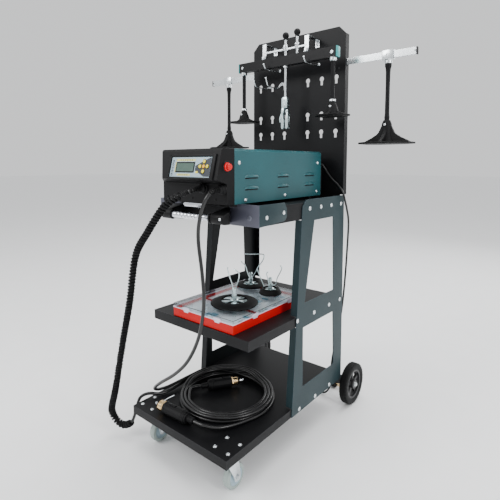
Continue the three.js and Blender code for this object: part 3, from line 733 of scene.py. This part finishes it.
def puller(mats):
    y, z = BEAM_Y, BEAM_Z
    caps = Form()
    for _, side in SIDES:
        a, b = sorted((side * 209.5, side * 213.2))
        caps.block((a, y - 11.6, z - 17.6), (b, y + 11.6, z + 17.6), 1.4, 3)
    caps.done("puller_beam_caps", "root", mats["teal_cap"])
    collars = Form()
    for _, side in SIDES:
        x = side * POST_X
        collars.turn([(7.2, 1249), (12, 1249), (12, 1241), (10, 1238), (7.2, 1238), (7.2, 1249)], (x, y, 0),
                     Z, 28)
        collars.turn([(7.2, 1112), (10, 1112), (11, 1110), (11, 1105.4), (7.2, 1105.4), (7.2, 1112)],
                     (x, y, 0),
                     Z, 28)
        collars.bolt((x, y - 11, z), FRONT, 4)
    for x in (-92, 92):
        collars.nut((x, y - 9.6, z + 24), FRONT, 5, 3.4)
        collars.bolt((x, -12, 1322), FRONT, 3.2, washer=1.3)
    collars.nut((ROD_X, y, z - 17.2), (0, 0, -1), 9, 6)
    collars.done("puller_collars", "root", mats["zinc"])
    for node, x, low, top in (("pull_rod", ROD_X, 1138.6, 1346), ("lock_screw", SCREW_X, 1256, 1350)):
        rod = Form()
        threads = []
        height = 1322
        while height < 1338:
            threads += [(4.4, height), (4.9, height + 0.9), (4.4, height + 1.8)]
            height += 1.8
        profile = [(0, low), (3.8, low), (4.4, low + 1), (4.4, 1314.6), (9, 1315.2), (9, 1321), (7, 1322)]
        profile += threads + [(4.4, top + 2), (0, top + 2)]
        rod.turn(profile, (x, y, 0), Z, 24)
        rod.done(node, node, mats["zinc"], [node])
        ball = Form()
        arc = [(12 * math.sin(math.radians(d)), top + 9 - 12 * math.cos(math.radians(d))) for d in range(30,
                                                                                                         181,
                                                                                                         10)]
        ball.turn([(0, top - 5), (6.6, top - 5), (7.4, top - 4)] + arc[1:-1] + [(0, top + 21)], (x, y, 0),
                  Z, 32)
        ball.done(node + "_ball", node, mats["plastic"])
    for name, side in SIDES:
        foot(mats, f"puller_foot_{name}", side * POST_X, y, 1104, 1056, 54, 46, 7)
    clamp(mats)


def clamp(mats):
    """Gripping clamp: head block, two long fingers with rounded tips, pivot pins and a side lever."""
    x, y = ROD_X, BEAM_Y
    head = Form()
    head.slab([(x - 11, 1098), (x + 11, 1098), (x + 12, 1104), (x + 12, 1132), (x + 8, 1138), (x - 8, 1138),
               (x - 12, 1132), (x - 12, 1104)], "y", y - 8, y + 8, 1.4, 3)
    finger = [(x - 14, 1032), (x - 13, 1026), (x - 9, 1022.4), (x - 4.5, 1024), (x - 2.4, 1031),
              (x - 2.4, 1058),
              (x - 5.5, 1062), (x - 5.5, 1080), (x - 2.4, 1084), (x - 2.4, 1099), (x - 12, 1099), (x - 14,
                                                                                                   1090)]
    head.slab(finger, "y", y - 7.6, y + 7.6, 1.2, 2)
    for level in (1108, 1126):
        head.turn([(0, -9.4), (3.6, -9.4), (4.4, -8.6), (4.4, 8.6), (3.6, 9.4), (0, 9.4)], (x, y, level), Y,
                  20)
    lever = [(x - 14, 1052), (x - 20, 1046), (x - 24, 1052), (x - 24, 1066), (x - 18, 1078), (x - 13, 1082)]
    head.slab(lever, "y", y - 4, y + 4, 1.2, 2)
    head.turn([(0, -6), (3, -6), (3, 6), (0, 6)], (x - 20, y, 1060), Y, 16)
    head.done("clamp_body", "pull_rod", mats["steel"], ["clamp_body"])
    jaw = Form()
    mirrored = [(2 * x + 2 - a, b) for a, b in finger[:9]] + [(x + 5, 1092), (x + 15, 1092)]
    jaw.slab(mirrored, "y", y - 7.6, y + 7.6, 1.2, 2)
    jaw.turn([(0, -9), (3.6, -9), (4.2, -8.4), (4.2, 8.4), (3.6, 9), (0, 9)], (x + 10, y, 1086), Y, 20)
    jaw.done("clamp_jaw", "clamp_jaw", mats["steel"], ["clamp_jaw"])


def hooks(mats):
    """Wire hooks on the board: each prong dips, then turns up to a round head."""
    form = Form()
    for x, z, dip in ((98, 1253, 7), (-74, 1252, 6), (-64, 1202, 19), (-120, 1196, 10)):
        form.tube([(x, -7, z + 1), (x, -14, z), (x, -40, z - dip), (x, -92, z - dip),
                   (x, -103, z - dip * 0.5),
                   (x, -110, z + 7)], 2.2, 12, 6)
        form.turn([(0, 0), (3.4, 0.4), (4.2, 2.6), (3.4, 4.8), (0, 5.2)], (x, -110, z + 6), (0, -0.2, 1), 18)
        form.bolt((x, BOARD_FACE, z), FRONT, 3.8, washer=1.5, recess=False)
    form.done("board_hooks", "root", mats["zinc"])


FACE_TILT = math.atan2(20, 932 - FACE_Z)  # the face leans back 20 mm over its height


def face_matrix():
    """Turns shapes drawn upright at the foot of the leaning face into that face."""
    pivot = at(0, FACE_Y, FACE_Z)
    return Matrix.Translation(pivot) @ Matrix.Rotation(-FACE_TILT, 4, "X") @ Matrix.Translation(-pivot)


def welder_front(mats):
    tilt = face_matrix()
    front = FACE_Y
    frame_bars = Form(tilt)
    x0, x1, z0, z1, lip = -52, 124, 855.5, 924.5, 6.5
    for low, high in (
        ((x0, front - 3.2, z0), (x1, front + 1, z0 + lip - 1.6)),
        ((x0, front - 3.2, z1 - lip), (x1, front + 1, z1)),
        ((x0, front - 3.2, z0), (x0 + lip, front + 1, z1)),
        ((x1 - lip, front - 5, z0 - 2), (x1 + 6, front + 1, z1 + 1)),
    ):
        frame_bars.block(low, high, 1.5, 3)
    frame_bars.done("panel_surround", "root", mats["plastic"])

    def marks(name, material, outlines, depth=0.45):
        form = Form(tilt)
        for outline in outlines:
            form.slab(outline, "y", front - 0.5 - depth, front - 0.35, 0.12, 1)
        form.done(name, "root", material)

    dark = [(56, 893), (78, 903), (106, 915), (113.5, 915.5), (113.5, 863), (92, 863.5), (56, 880)]
    marks("panel_dark_field", mats["dark"], [dark], 0.3)
    marks("panel_display_rim", mats["plastic"], [round_rect(-22, 53, 873.5, 903.5, 1.5)], 0.9)
    marks("panel_display", mats["screen"], [round_rect(-18.5, 49.5, 877, 900, 0.6)], 1.05)
    marks("panel_bars", mats["cream"], [round_rect(-24, 53, 906, 911.5, 1),
                                        round_rect(-14, 40, 864.5, 870, 1),
                                        round_rect(-26.5, -23.5, 873, 904, 0.8)], 0.35)
    symbols = []
    for k in range(5):
        z = 868 + 9.4 * k
        symbols.append([(-40, z), (-36, z + 4.5), (-32, z), (-33.6, z - 1.2), (-36, z + 1.6),
                        (-38.4, z - 1.2)])
        symbols.append(round_rect(-39, -33, z - 3.6, z - 2.2, 0.5))
    symbols += [round_rect(-8 + 9 * k, -3 + 9 * k, 907.8, 909.8, 0.5) for k in range(6)]
    symbols += [round_rect(-6 + 8 * k, -1.5 + 8 * k, 866.2, 868.2, 0.5) for k in range(5)]
    marks("panel_symbols", mats["dark"], symbols, 0.5)
    marks("panel_set_mark", mats["yellow"], [round_rect(60, 69, 872, 878, 2.4)], 0.9)
    keys = Form(tilt)
    for a, b in KEYS.values():
        x, z = KEY_X + KEY_STEP * a, KEY_Z + KEY_STEP * b
        keys.turn([(5.7, 0), (6.6, 0), (6.6, 0.7), (5.9, 0.9), (5.7, 0)], (x, front - 0.6, z), FRONT, 24)
    keys.done("button_rims", "root", mats["plastic"])
    for name, (a, b) in KEYS.items():
        key = Form(tilt)
        x, z = KEY_X + KEY_STEP * a, KEY_Z + KEY_STEP * b
        key.turn([(0, -1), (5.1, -1), (5.2, 1.4), (4.7, 2.5), (3.2, 3), (0, 3.1)], (x, front, z), FRONT, 28)
        material = mats["orange"] if name == "ok" else mats["yellow"]
        key.done(f"button_{name}", f"button_{name}", material, [f"button_{name}"])

    dial = Form()
    profile = [(0, 0.4), (11.6, 0.4), (12, 1), (11.4, 4), (9, 5), (8.4, 11.6), (7.4, 12.8), (0, 12.9)]
    dial.turn(profile, KNOB, X, 36)
    dial.block((152.6, -549.6, 881), (156.2, -546.4, 897), 1, 2)
    dial.turn([(0, -6), (4.4, -6), (4.4, 1), (0, 1)], KNOB, X, 16)
    for k in range(14):
        a = 2 * math.pi * k / 14
        dial.tube([(143.6, KNOB[1] + 8.7 * math.cos(a), KNOB[2] + 8.7 * math.sin(a)),
                   (153.2, KNOB[1] + 8.1 * math.cos(a), KNOB[2] + 8.1 * math.sin(a))], 0.9, 6, 0)
    dial.done("power_knob", "power_knob", mats["knob"], ["power_knob"])
    ring = Form()
    ring.turn([(12.6, 0.1), (15.4, 0.1), (15.4, 1.1), (14.6, 1.8), (12.6, 1.8), (12.6, 0.1)], KNOB, X, 36)
    ring.done("knob_ring", "root", mats["frame"])

    for name, x, z in (("left", 57, 829), ("right", 128, 829)):
        gland = Form()
        start = (x, -549, z)
        gland.turn([(0, -14), (11.8, -14), (11.8, 0.4), (15.2, 0.4), (15.2, 3), (13.6, 4.6), (13, 5),
                    (13, 11), (11, 12.5),
                    (9, 17.4), (0, 17.4)], start, FRONT, 32)
        gland.done(f"cable_gland_{name}", "root", mats["plastic"], [f"cable_gland_{name}"])
    creases = Form()
    creases.block((-117, -549.2, 840.6), (141, -547.6, 842.4), 0.6)
    for x in (-100, 8, 100):
        creases.bolt((x, -548.3, 800), FRONT, 3.4, washer=0)
    creases.done("bezel_trim", "root", mats["plastic"])


# The spiral wrap, in millimetres: start and end along the cable, pitch, coil radius and strand radius.
WRAP_START, WRAP_END, WRAP_PITCH = 62, 985, 10
WRAP_RADIUS, WRAP_THICKNESS = 8.2, 3.6


def sleeves(mats):
    """Ribbed boots at the glands and a spiral wrap down the left cable."""
    boots = Form()
    for route, count in ((ROUTE_A, 13), (ROUTE_B, 6)):
        path = smooth_path([Vector(p) for p in route], 8)
        far = 0.0
        ring = 0
        for a, b in zip(path, path[1:]):
            far += (b - a).length
            if far > 3 + 5.4 * ring and ring < count:
                radius = 8.6 - 0.14 * ring
                boots.turn([(4.4, -1.5), (radius - 0.6, -1.6), (radius, -0.8), (radius, 0.8),
                            (radius - 0.6, 1.6),
                            (4.4, 1.5), (4.4, -1.5)], tuple(a), tuple((b - a).normalized()), 20)
                ring += 1
    boots.done("cable_boots", "root", mats["rubber"])
    wrap = []
    path = smooth_path([Vector(p) for p in ROUTE_A], 90)
    along = 0.0
    normal = Vector(X)
    for a, b in zip(path, path[1:]):
        step = b - a
        along += step.length
        tangent = step.normalized()
        normal = (normal - tangent * normal.dot(tangent)).normalized()
        other = tangent.cross(normal)
        if WRAP_START < along < WRAP_END:
            angle = 2 * math.pi * along / WRAP_PITCH
            wrap.append(tuple(a + (normal * math.cos(angle) + other * math.sin(angle)) * WRAP_RADIUS))
    spiral = Form()
    spiral.tube(wrap, WRAP_THICKNESS, 6, 0)
    return spiral.done("cable_wrap", "root", mats["rubber"])


def welder_cover_trim(mats):
    hoods = Form()
    # Black slabs under the louvre hoods stand for their shaded openings: painted shade.
    slots = Form()
    for side, x in COVER_SIDES:
        for y in (-445, -290, -136):
            for z in (859, 827):
                part = bmesh.new()
                bmesh.ops.create_uvsphere(part, u_segments=24, v_segments=12, radius=1)
                bmesh.ops.scale(part, vec=(6 * MM, 33 * MM, 9 * MM), verts=part.verts)
                bmesh.ops.translate(part, vec=at(x, y, z), verts=part.verts)
                for normal, spot in (((0, 0, -1), at(x, y, z)), ((-side, 0, 0), at(x - side * 0.3, y, z))):
                    everything = part.verts[:] + part.edges[:] + part.faces[:]
                    bmesh.ops.bisect_plane(part, geom=everything, plane_co=spot, plane_no=normal,
                                           clear_outer=True)
                    rims = [e for e in part.edges if e.is_boundary]
                    bmesh.ops.holes_fill(part, edges=rims)
                hoods.take(part)
                near, far = sorted((x - side * 0.2, x + side * 0.5))
                slots.slab([(y - 29, z - 4.2), (y + 29, z - 4.2), (y + 27, z - 0.1), (y - 27, z - 0.1)], "x",
                           near, far, 0.15)
    hoods.done("cover_louvres", "root", mats["cover"], sharp=50)
    slots.done("cover_louvre_slots", "root", mats["frame"])
    screws = Form()
    for side, x in COVER_SIDES:
        for y, z in ((-498, 900), (-472, 796), (-280, 799), (-89, 801), (-84, 900)):
            screws.bolt((x + side * 0.3, y, z), (side, 0, 0), 4.6, washer=1.25)
    screws.done("cover_screws", "root", mats["zinc"])
    rear = Form()
    # The seven black slots stand for the shaded vent openings: painted shade.
    for k in range(7):
        z = 815 + 9 * k
        rear.slab(round_rect(-80, 60, z, z + 4, 1.8), "y", WELDER_REAR - 0.4, WELDER_REAR + 0.6, 0.3)
    for x, z in ((-108, 797), (132, 797), (-108, 928), (110, 928)):
        rear.bolt((x, WELDER_REAR, z), Y, 3.6)
    rear.turn([(3.8, -2), (11, -2), (11, 2), (8.4, 4), (7.4, 14.6), (3.8, 14.6), (3.8, -2)],
              (122, WELDER_REAR, 900), Y, 28)
    rear.done("rear_panel_trim", "root", mats["frame"])


def case_parts(mats):
    x0, x1, y0, y1 = CASE
    clips = Form()
    for y in (-428, -248):
        clips.block((139.6, y - 15, 449), (143.2, y + 15, 459), 1.2, 3)
        clips.block((141, y - 10, 445), (144, y + 10, 451), 1.2, 3)
    for x in (-50, 80):
        clips.block((x - 14, -526.2, 449), (x + 14, -522.8, 459), 1.2, 3)
        clips.block((x - 9, -527, 445), (x + 9, -524, 451), 1.2, 3)
    clips.done("case_latches", "case_lid", mats["lid_rim"])
    rim = Form()
    over, under, low, high = 1.4, 0.3, 449.6, 453
    rim.block((x0 - over, y0 - over, low), (x1 + over, y0 + under, high), 0.7)
    rim.block((x0 - over, y1 - under, low), (x1 + over, y1 + over, high), 0.7)
    rim.block((x0 - over, y0, low), (x0 + under, y1, high), 0.7)
    rim.block((x1 - under, y0, low), (x1 + over, y1, high), 0.7)
    rim.done("case_lid_rim", "case_lid", mats["lid_rim"])
    foam = Form()
    foam.slab(round_rect(x0 + 4, x1 - 4, y0 + 4, y1 - 4, 5), "z", 426.4, 441, 1.2)
    foam.done("case_insert", "root", mats["foam"])
    bits = Form()
    for _ in range(60):
        x, y = random.uniform(x0 + 14, x1 - 14), random.uniform(y0 + 14, y1 - 14)
        kind = random.random()
        if kind < 0.45:
            r = random.uniform(4, 8)
            bits.turn([(r * 0.45, 0), (r, 0), (r, 1.4), (r * 0.45, 1.4), (r * 0.45, 0)], (x, y, 441.1), Z,
                      18)
        else:
            a = random.uniform(0, math.pi)
            d = Vector((math.cos(a), math.sin(a), 0)) * random.uniform(7, 12)
            bits.turn([(0, 0), (2, 0), (2, 0.6), (1.2, 1), (1.2, d.length * 1.6), (0.4, d.length * 1.6 + 2),
                       (0, d.length * 1.6 + 2)], (x - d.x, y - d.y, 442.7), tuple(d), 10)
    bits.done("case_studs", "root", mats["steel"])
    tabs = Form()
    for _ in range(14):
        x, y = random.uniform(x0 + 20, x1 - 34), random.uniform(y0 + 16, y1 - 30)
        tabs.slab(round_rect(x, x + random.uniform(10, 26), y, y + random.uniform(8, 20), 2), "z", 441.1,
                  443, 0.5)
    tabs.done("case_pull_tabs", "root", mats["tab"])


PADS = [(45, -411, 74, 17), (-39, -229, 49, 15), (71, -259, 38, 22)]  # x, y, radius, height
LID_TOP = 463.5
# The wire bails on each pad: their thickness, and each wire's bends as (across, above the pad's top).
BAILS = [
    (1.7, [
        [(-5, 12), (-8, 40), (-20, 66), (-28, 88), (-26, 93)],
        [(5, 12), (7, 34), (17, 60), (20, 80), (10, 88), (-2, 92)],
    ]),
    (1.7, [
        [(-6, 14), (-16, 34), (-24, 52), (-44, 66)],
        [(6, 14), (20, 34), (34, 58), (54, 84), (60, 100), (52, 106), (10, 100), (-26, 96)],
        [(30, 50), (44, 22), (58, -2), (62, -10)],
    ]),
    (1.6, [
        [(5, 8), (22, 14), (28, 36), (40, 58), (46, 72), (40, 80)],
        [(-5, 8), (-12, 30), (-16, 44), (-10, 50)],
    ]),
]


def pull_pads(mats):
    for index, (x, y, r, h) in enumerate(PADS):
        name = f"pull_pad_{index + 1}"
        base = LID_TOP
        inner = r * 0.56
        rubber = Form()
        rubber.turn([(0, 0), (r - 3, 0), (r, 3), (r, 5), (r - 2.5, 8), (r * 0.82, h - 5),
                     (inner + 5, h - 2.5),
                     (inner + 1, h - 3.5), (inner, h - 8), (0, h - 9)], (x, y, base), Z, 64)
        rubber.done(name, "case_lid", mats["rubber"], [name])
        star = Form()
        blades = 5
        for k in range(blades):
            a0 = 2 * math.pi * (k + 0.06) / blades
            a1 = 2 * math.pi * (k + 0.66) / blades
            outline = [(x + 9 * math.cos((a0 + a1) / 2), y + 9 * math.sin((a0 + a1) / 2))]
            for s in range(5):
                a = a0 + (a1 - a0) * s / 4
                outline.append((x + (inner - 2) * math.cos(a), y + (inner - 2) * math.sin(a)))
            star.slab(outline, "z", base + h - 8.6, base + h - 5.5, 0.7)
        star.turn([(0, h - 9), (12, h - 9), (12, h - 4), (9.5, h - 1), (7, h), (7, h + 4), (4.8, h + 5),
                   (4.8, h + 26),
                   (6.4, h + 27), (6.4, h + 31), (4, h + 34), (0, h + 34)], (x, y, base), Z, 28)
        star.nut((x, y, base + h + 5), Z, 8.6, 7)
        star.done(name + "_star", "case_lid", mats["steel"])
    bails = Form()
    for (x, y, _, height), (thickness, wires) in zip(PADS, BAILS):
        for bends in wires:
            points = [(x + across, y, LID_TOP + height + rise) for across, rise in bends]
            bails.tube(points, thickness, 10)
    bails.done("pad_bails", "case_lid", mats["steel"])


def gun_trim(mats):
    """Brass nozzles, clamp rings, ribbed boots and bright tips on the two guns, and a bright wire by the
    first.
    """
    guns = [((30, -574, 153), (-112, -582, 153)), ((-92, -424, 153), (-22, -318, 153))]
    black = Form()
    brass = Form()
    bright = Form()
    for index, (start, end) in enumerate(guns):
        a, b = Vector(start), Vector(end)
        w = (b - a).normalized()
        length = (b - a).length

        def spot(s):
            return tuple(a + w * s)

        ribs = [(8.2, 1)]
        for k in range(5):
            ribs += [(9.4, 2 + 4 * k), (9.4, 4 + 4 * k), (8.3, 4.4 + 4 * k), (8.3, 5.6 + 4 * k)]
        black.turn([(5.2, 1)] + ribs + [(8.2, 23), (5.2, 23), (5.2, 1)], spot(0), tuple(w), 24)
        black.turn([(7.8, 22), (15, 23), (16, 24.5), (16, 29), (7.8, 29), (7.8, 22)], spot(0), tuple(w), 32)
        for s in (33, 38):
            black.turn([(17.6, s), (19, s + 0.6), (19, s + 2.4), (17.6, s + 3), (17.6, s)], spot(0),
                       tuple(w), 36)
        tail = length - 26
        black.turn([(17.8, tail - 7), (19.2, tail - 6), (19.2, tail - 1), (16, tail + 1.4), (11, tail + 1.6),
                    (11, tail - 1), (17.8, tail - 7)], spot(0), tuple(w), 36)
        nose = 15.5 if index == 0 else 12.5
        brass.turn([(0, tail + 0.5), (11.4, tail + 0.5), (11.8, tail + 7), (nose, tail + 8),
                    (nose, tail + 22),
                    (nose - 2, tail + 24), (8, tail + 26), (8, tail + 31), (0,
                                                                            tail + 31)], spot(0), tuple(w),
                                                                            24)
        brass.nut(spot(tail + 3), tuple(w), nose + 1.5, 5)
        bright.turn([(0, tail + 29), (4.5, tail + 29), (4.5, tail + 42), (3, tail + 45), (0, tail + 45)],
                    spot(0),
                    tuple(w), 16)
    x, y, z = guns[0][1]
    bright.tube([(x + 2, y + 10, z + 6), (x + 8, y + 26, z + 12), (x + 16, y + 44, z + 17)], 2, 10)
    black.done("gun_trim", "root", mats["plastic"])
    brass.done("gun_nozzles", "root", mats["brass"])
    bright.done("gun_tips", "root", mats["zinc"])


def mains_plug(mats):
    """Moulded plug on the floor: waisted body, ribbed tail and three flat pins."""
    form = Form()
    y, z = 107, 18
    profile = [(0, 88.2), (5.6, 88.2), (7, 92)]
    for k in range(4):
        s = 94 + 3.4 * k
        profile += [(8, s), (8, s + 1.6), (6.9, s + 2), (6.9, s + 3)]
    profile += [(11, 109), (15.6, 113), (16.8, 118), (15.8, 123), (16.8, 127), (16.8, 129), (15.8, 130),
                (0, 130)]
    form.turn([(r, s - 88) for r, s in profile], (88, y, z), X, 32)
    plug = form.done("mains_plug", "root", mats["rubber"], ["mains_plug"])
    pins = Form()
    for dy, dz, w, t in ((-6.5, 3.5, 3.1, 0.8), (6.5, 3.5, 3.1, 0.8), (0, -7, 0.8, 3.1)):
        pins.block((129.4, y + dy - w, z + dz - t), (147.6, y + dy + w, z + dz + t), 0.5)
    pins.done("mains_plug_pins", "root", mats["brass"])
    return plug


# Cables. Points and radii are in millimetres, with depth counted from the rear face of the side panels.
CABLE_R = 5
MAINS_R = 3.6
LENGTH_A, LENGTH_B, LENGTH_MAINS = 3.8, 3.6, 2.5  # metres
COIL_X, COIL_Y = -8, -392
ROUTE_A = [
    (57, -566.6, 829), (57, -574, 829), (54, -594, 825), (38, -622, 812), (0, -642, 783), (-66, -650, 706),
    (-122, -652, 630), (-158, -650, 492), (-202, -648, 355), (-254, -644, 190), (-286, -640, 112), (-296,
                                                                                                    -634,
                                                                                                    84),
    (-288, -625, 55), (-262, -614, 42), (-234, -603, 58), (-222, -594, 96), (-218, -580, 135), (-200, -560,
                                                                                                148),
    (-181, -528, 141), (-171, -490, 142),
]
ROUTE_B = [
    (128, -566.6, 829), (128, -574, 829), (125, -590, 823), (116, -604, 800), (98, -606, 752), (90, -604,
                                                                                                695),
    (102, -602, 600), (106, -602, 520), (86, -602, 430), (42, -602, 350), (-18, -600, 290), (-92, -594, 236),
    (-142, -578, 196), (-168, -546, 168), (-174, -506, 156), (-171, -468, 156),
]
ROUTE_MAINS = [
    (122, -43.6, 900), (122, -37, 900), (127, -24, 893), (140, -18, 872), (160, -18, 846), (188, -19, 822),
    (207, -18, 796), (214, -14, 768), (216, -2, 735), (215, 14, 690), (208, 24, 610), (200, 26, 480),
    (190, 24, 360), (172, 22, 250), (156, 22, 160), (150, 23, 90), (144, 25, 42), (124, 29, 12), (98, 32, 5),
    (76, 32, 4.4),
]
TAIL_A = [(122, -500, 143), (100, -545, 147), (68, -568, 152), (38, -573.6, 153), (30, -574, 153)]
TAIL_B = [(-106, -462, 153), (-108, -444, 153), (-102, -431, 153), (-92, -424, 153)]
STEP = 10  # degrees between the points of a turn


def eased(t):
    t = max(0.0, min(1.0, t))
    return t * t * (3 - 2 * t)


def coil_a():
    """In over its own turns, down to the shelf at the inside, then outwards turn by turn."""
    points = []
    for angle in range(180, -741, -STEP):
        entry = eased((180 - angle) / 80)
        radius = 160 - 29 * entry + max(0, 100 - angle) * 10.4 / 360
        height = 151 - 11 * eased((150 - angle) / 80) if angle > 60 else 140
        a = math.radians(angle)
        points.append((COIL_X + radius * math.cos(a), COIL_Y + radius * math.sin(a), height))
    return points


def coil_b():
    """On top of the first coil, rising over the place where the first cable comes in."""
    points = []
    for angle in range(170, -866, -STEP):
        turn = (angle + 3600) % 360
        over = eased((turn - 70) / 30) * eased((215 - turn) / 25)
        radius = 154 - (170 - angle) * 10.7 / 360
        a = math.radians(angle)
        points.append((COIL_X + radius * math.cos(a), COIL_Y + radius * math.sin(a), 151 + 11 * over))
    return points[:-2]


def coil_mains():
    """Turns side by side and in three layers, flat on the floor."""
    lanes = [(43.4, 4.1), (36, 4.1), (36, 11.6), (43.4, 11.6), (43.4, 19.1), (43.4, 19.1)]
    points = []
    for angle in range(0, 360 * 5 + 180 + 1, 15):
        turn, part = divmod(angle, 360)
        shift = eased((part - 290) / 70)
        (r0, z0), (r1, z1) = lanes[turn], lanes[min(turn + 1, len(lanes) - 1)]
        radius, height = r0 + (r1 - r0) * shift, z0 + (z1 - z0) * shift
        a = math.radians(-90 - angle)
        points.append((40 + radius * math.cos(a), 72 + radius * math.sin(a), height))
    return points


def make_cables(mats, plug, wrap):
    cables = [
        ("cable_left", ROUTE_A + coil_a() + TAIL_A, CABLE_R, ["cable_left_drop", "cable_left_coil"],
         LENGTH_A, "tool",
         ["gun_1", wrap]),
        ("cable_right", ROUTE_B + coil_b() + TAIL_B, CABLE_R, ["cable_right_drop", "cable_right_coil"],
         LENGTH_B,
         "tool", ["gun_2"]),
        ("mains_lead", ROUTE_MAINS + coil_mains() + [(66, 114, 18.4), (88, 107, 18)], MAINS_R,
         ["mains_lead_drop", "mains_coil"], LENGTH_MAINS, "plug", [plug]),
    ]
    for name, route, radius, nodes, length, far_end, pieces in cables:
        points = [at(*p) for p in route]
        lead = wire(name, points, radius, "root", mats["cable"])
        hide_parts(*nodes)


def pairs(*stems):
    """The left and the right node of each stem."""
    return [f"{stem}_{name}" for stem in stems for name, _ in SIDES]


def paint_nodes(mats):
    """The CAD nodes that stay in view get their finished materials."""
    finish = {
        "shelf": ["bottom_shelf", "middle_shelf", "top_shelf", "tool_board", "welder_rear_panel"],
        # The right panel's teal is painted reflection and the left panel's near-black is painted shade, on
        # one shared paint.
        "teal": ["side_panel_right"],
        "left": ["side_panel_left"],
        "frame": ["puller_frame", "welder_base"] + pairs("bar_post"),
        "cover": ["welder_cover"],
        "plastic": ["welder_bezel", "gun_1", "gun_2", "gun_trigger_1", "gun_trigger_2"]
        + pairs("cable_gland", "handle_bracket"),
        "rubber": ["pull_pad_1", "pull_pad_2", "pull_pad_3", "mains_plug"]
        + pairs("bar_foot", "puller_foot", "rear_wheel"),
        "zinc": ["rear_axle", "cross_bar", "puller_hanger", "pull_rod", "lock_screw"]
        + pairs("caster_fork", "bar_sleeve"),
        "chrome": ["handle_tube"],
        "steel": ["clamp_body", "clamp_jaw"],
        "silver": ["control_panel"],
        "yellow": ["button_up", "button_down", "button_left", "button_right"],
        "orange": ["button_ok"],
        "knob": ["power_knob"],
        "red": ["case_tray"],
        "clear": ["case_lid"],
        "tread": pairs("caster_wheel"),
    }
    for key, names in finish.items():
        for name in names:
            NODES[name].data.materials.clear()
            NODES[name].data.materials.append(mats[key])


def area_light(name, location, target, size, power):
    data = bpy.data.lights.new(name, "AREA")
    data.shape = "RECTANGLE"
    data.size, data.size_y = size
    data.energy = power
    light = bpy.data.objects.new(name, data)
    bpy.context.scene.collection.objects.link(light)
    light.location = location
    light.rotation_euler = (Vector(target) - Vector(location)).to_track_quat("-Z", "Y").to_euler()


# Each light: name, place, target, size and power.
LIGHTS = [
    ("key", (-1.6, -3.0, 3.0), (0, 0, 0.7), (1.6, 1.6), 90),
    ("side", (3.4, -0.4, 2.2), (0, 0.1, 0.8), (0.7, 2.0), 60),
    ("top", (0.2, 0.3, 3.6), (0, 0, 0.6), (2.4, 2.4), 90),
    ("rear", (0.5, 3.2, 2.2), (0, 0, 0.7), (2.0, 1.5), 40),
]
SKY_COLOUR = (0.98, 0.99, 1, 1)
SKY_STRENGTH = 0.95
FLOOR_HALF = 30


def make_studio():
    mat = surface("studio_floor", (0.93, 0.935, 0.94), 0.7, 0.0, 40, 0.05, vary=0.01)
    bm = bmesh.new()
    bmesh.ops.create_grid(bm, x_segments=1, y_segments=1, size=FLOOR_HALF)
    floor = place("studio_floor", mesh_of("studio_floor", bm), "root", mat)
    floor.parent = None
    world = bpy.data.worlds.new("studio")
    bpy.context.scene.world = world
    world.use_nodes = True
    back = world.node_tree.nodes["Background"]
    back.inputs["Color"].default_value = SKY_COLOUR
    back.inputs["Strength"].default_value = SKY_STRENGTH
    for light in LIGHTS:
        area_light(*light)



make_camera()
MATS = make_materials()
make_cables(MATS, mains_plug(MATS), sleeves(MATS))
paint_nodes(MATS)
trolley_trim(MATS)
for SIDE_NAME, SIDE in SIDES:
    wheel(MATS, f"rear_wheel_{SIDE_NAME}", SIDE)
    caster(MATS, f"caster_{SIDE_NAME}", SIDE)
handle(MATS)
bar_legs(MATS)
puller(MATS)
hooks(MATS)
welder_front(MATS)
welder_cover_trim(MATS)
case_parts(MATS)
pull_pads(MATS)
gun_trim(MATS)
make_studio()
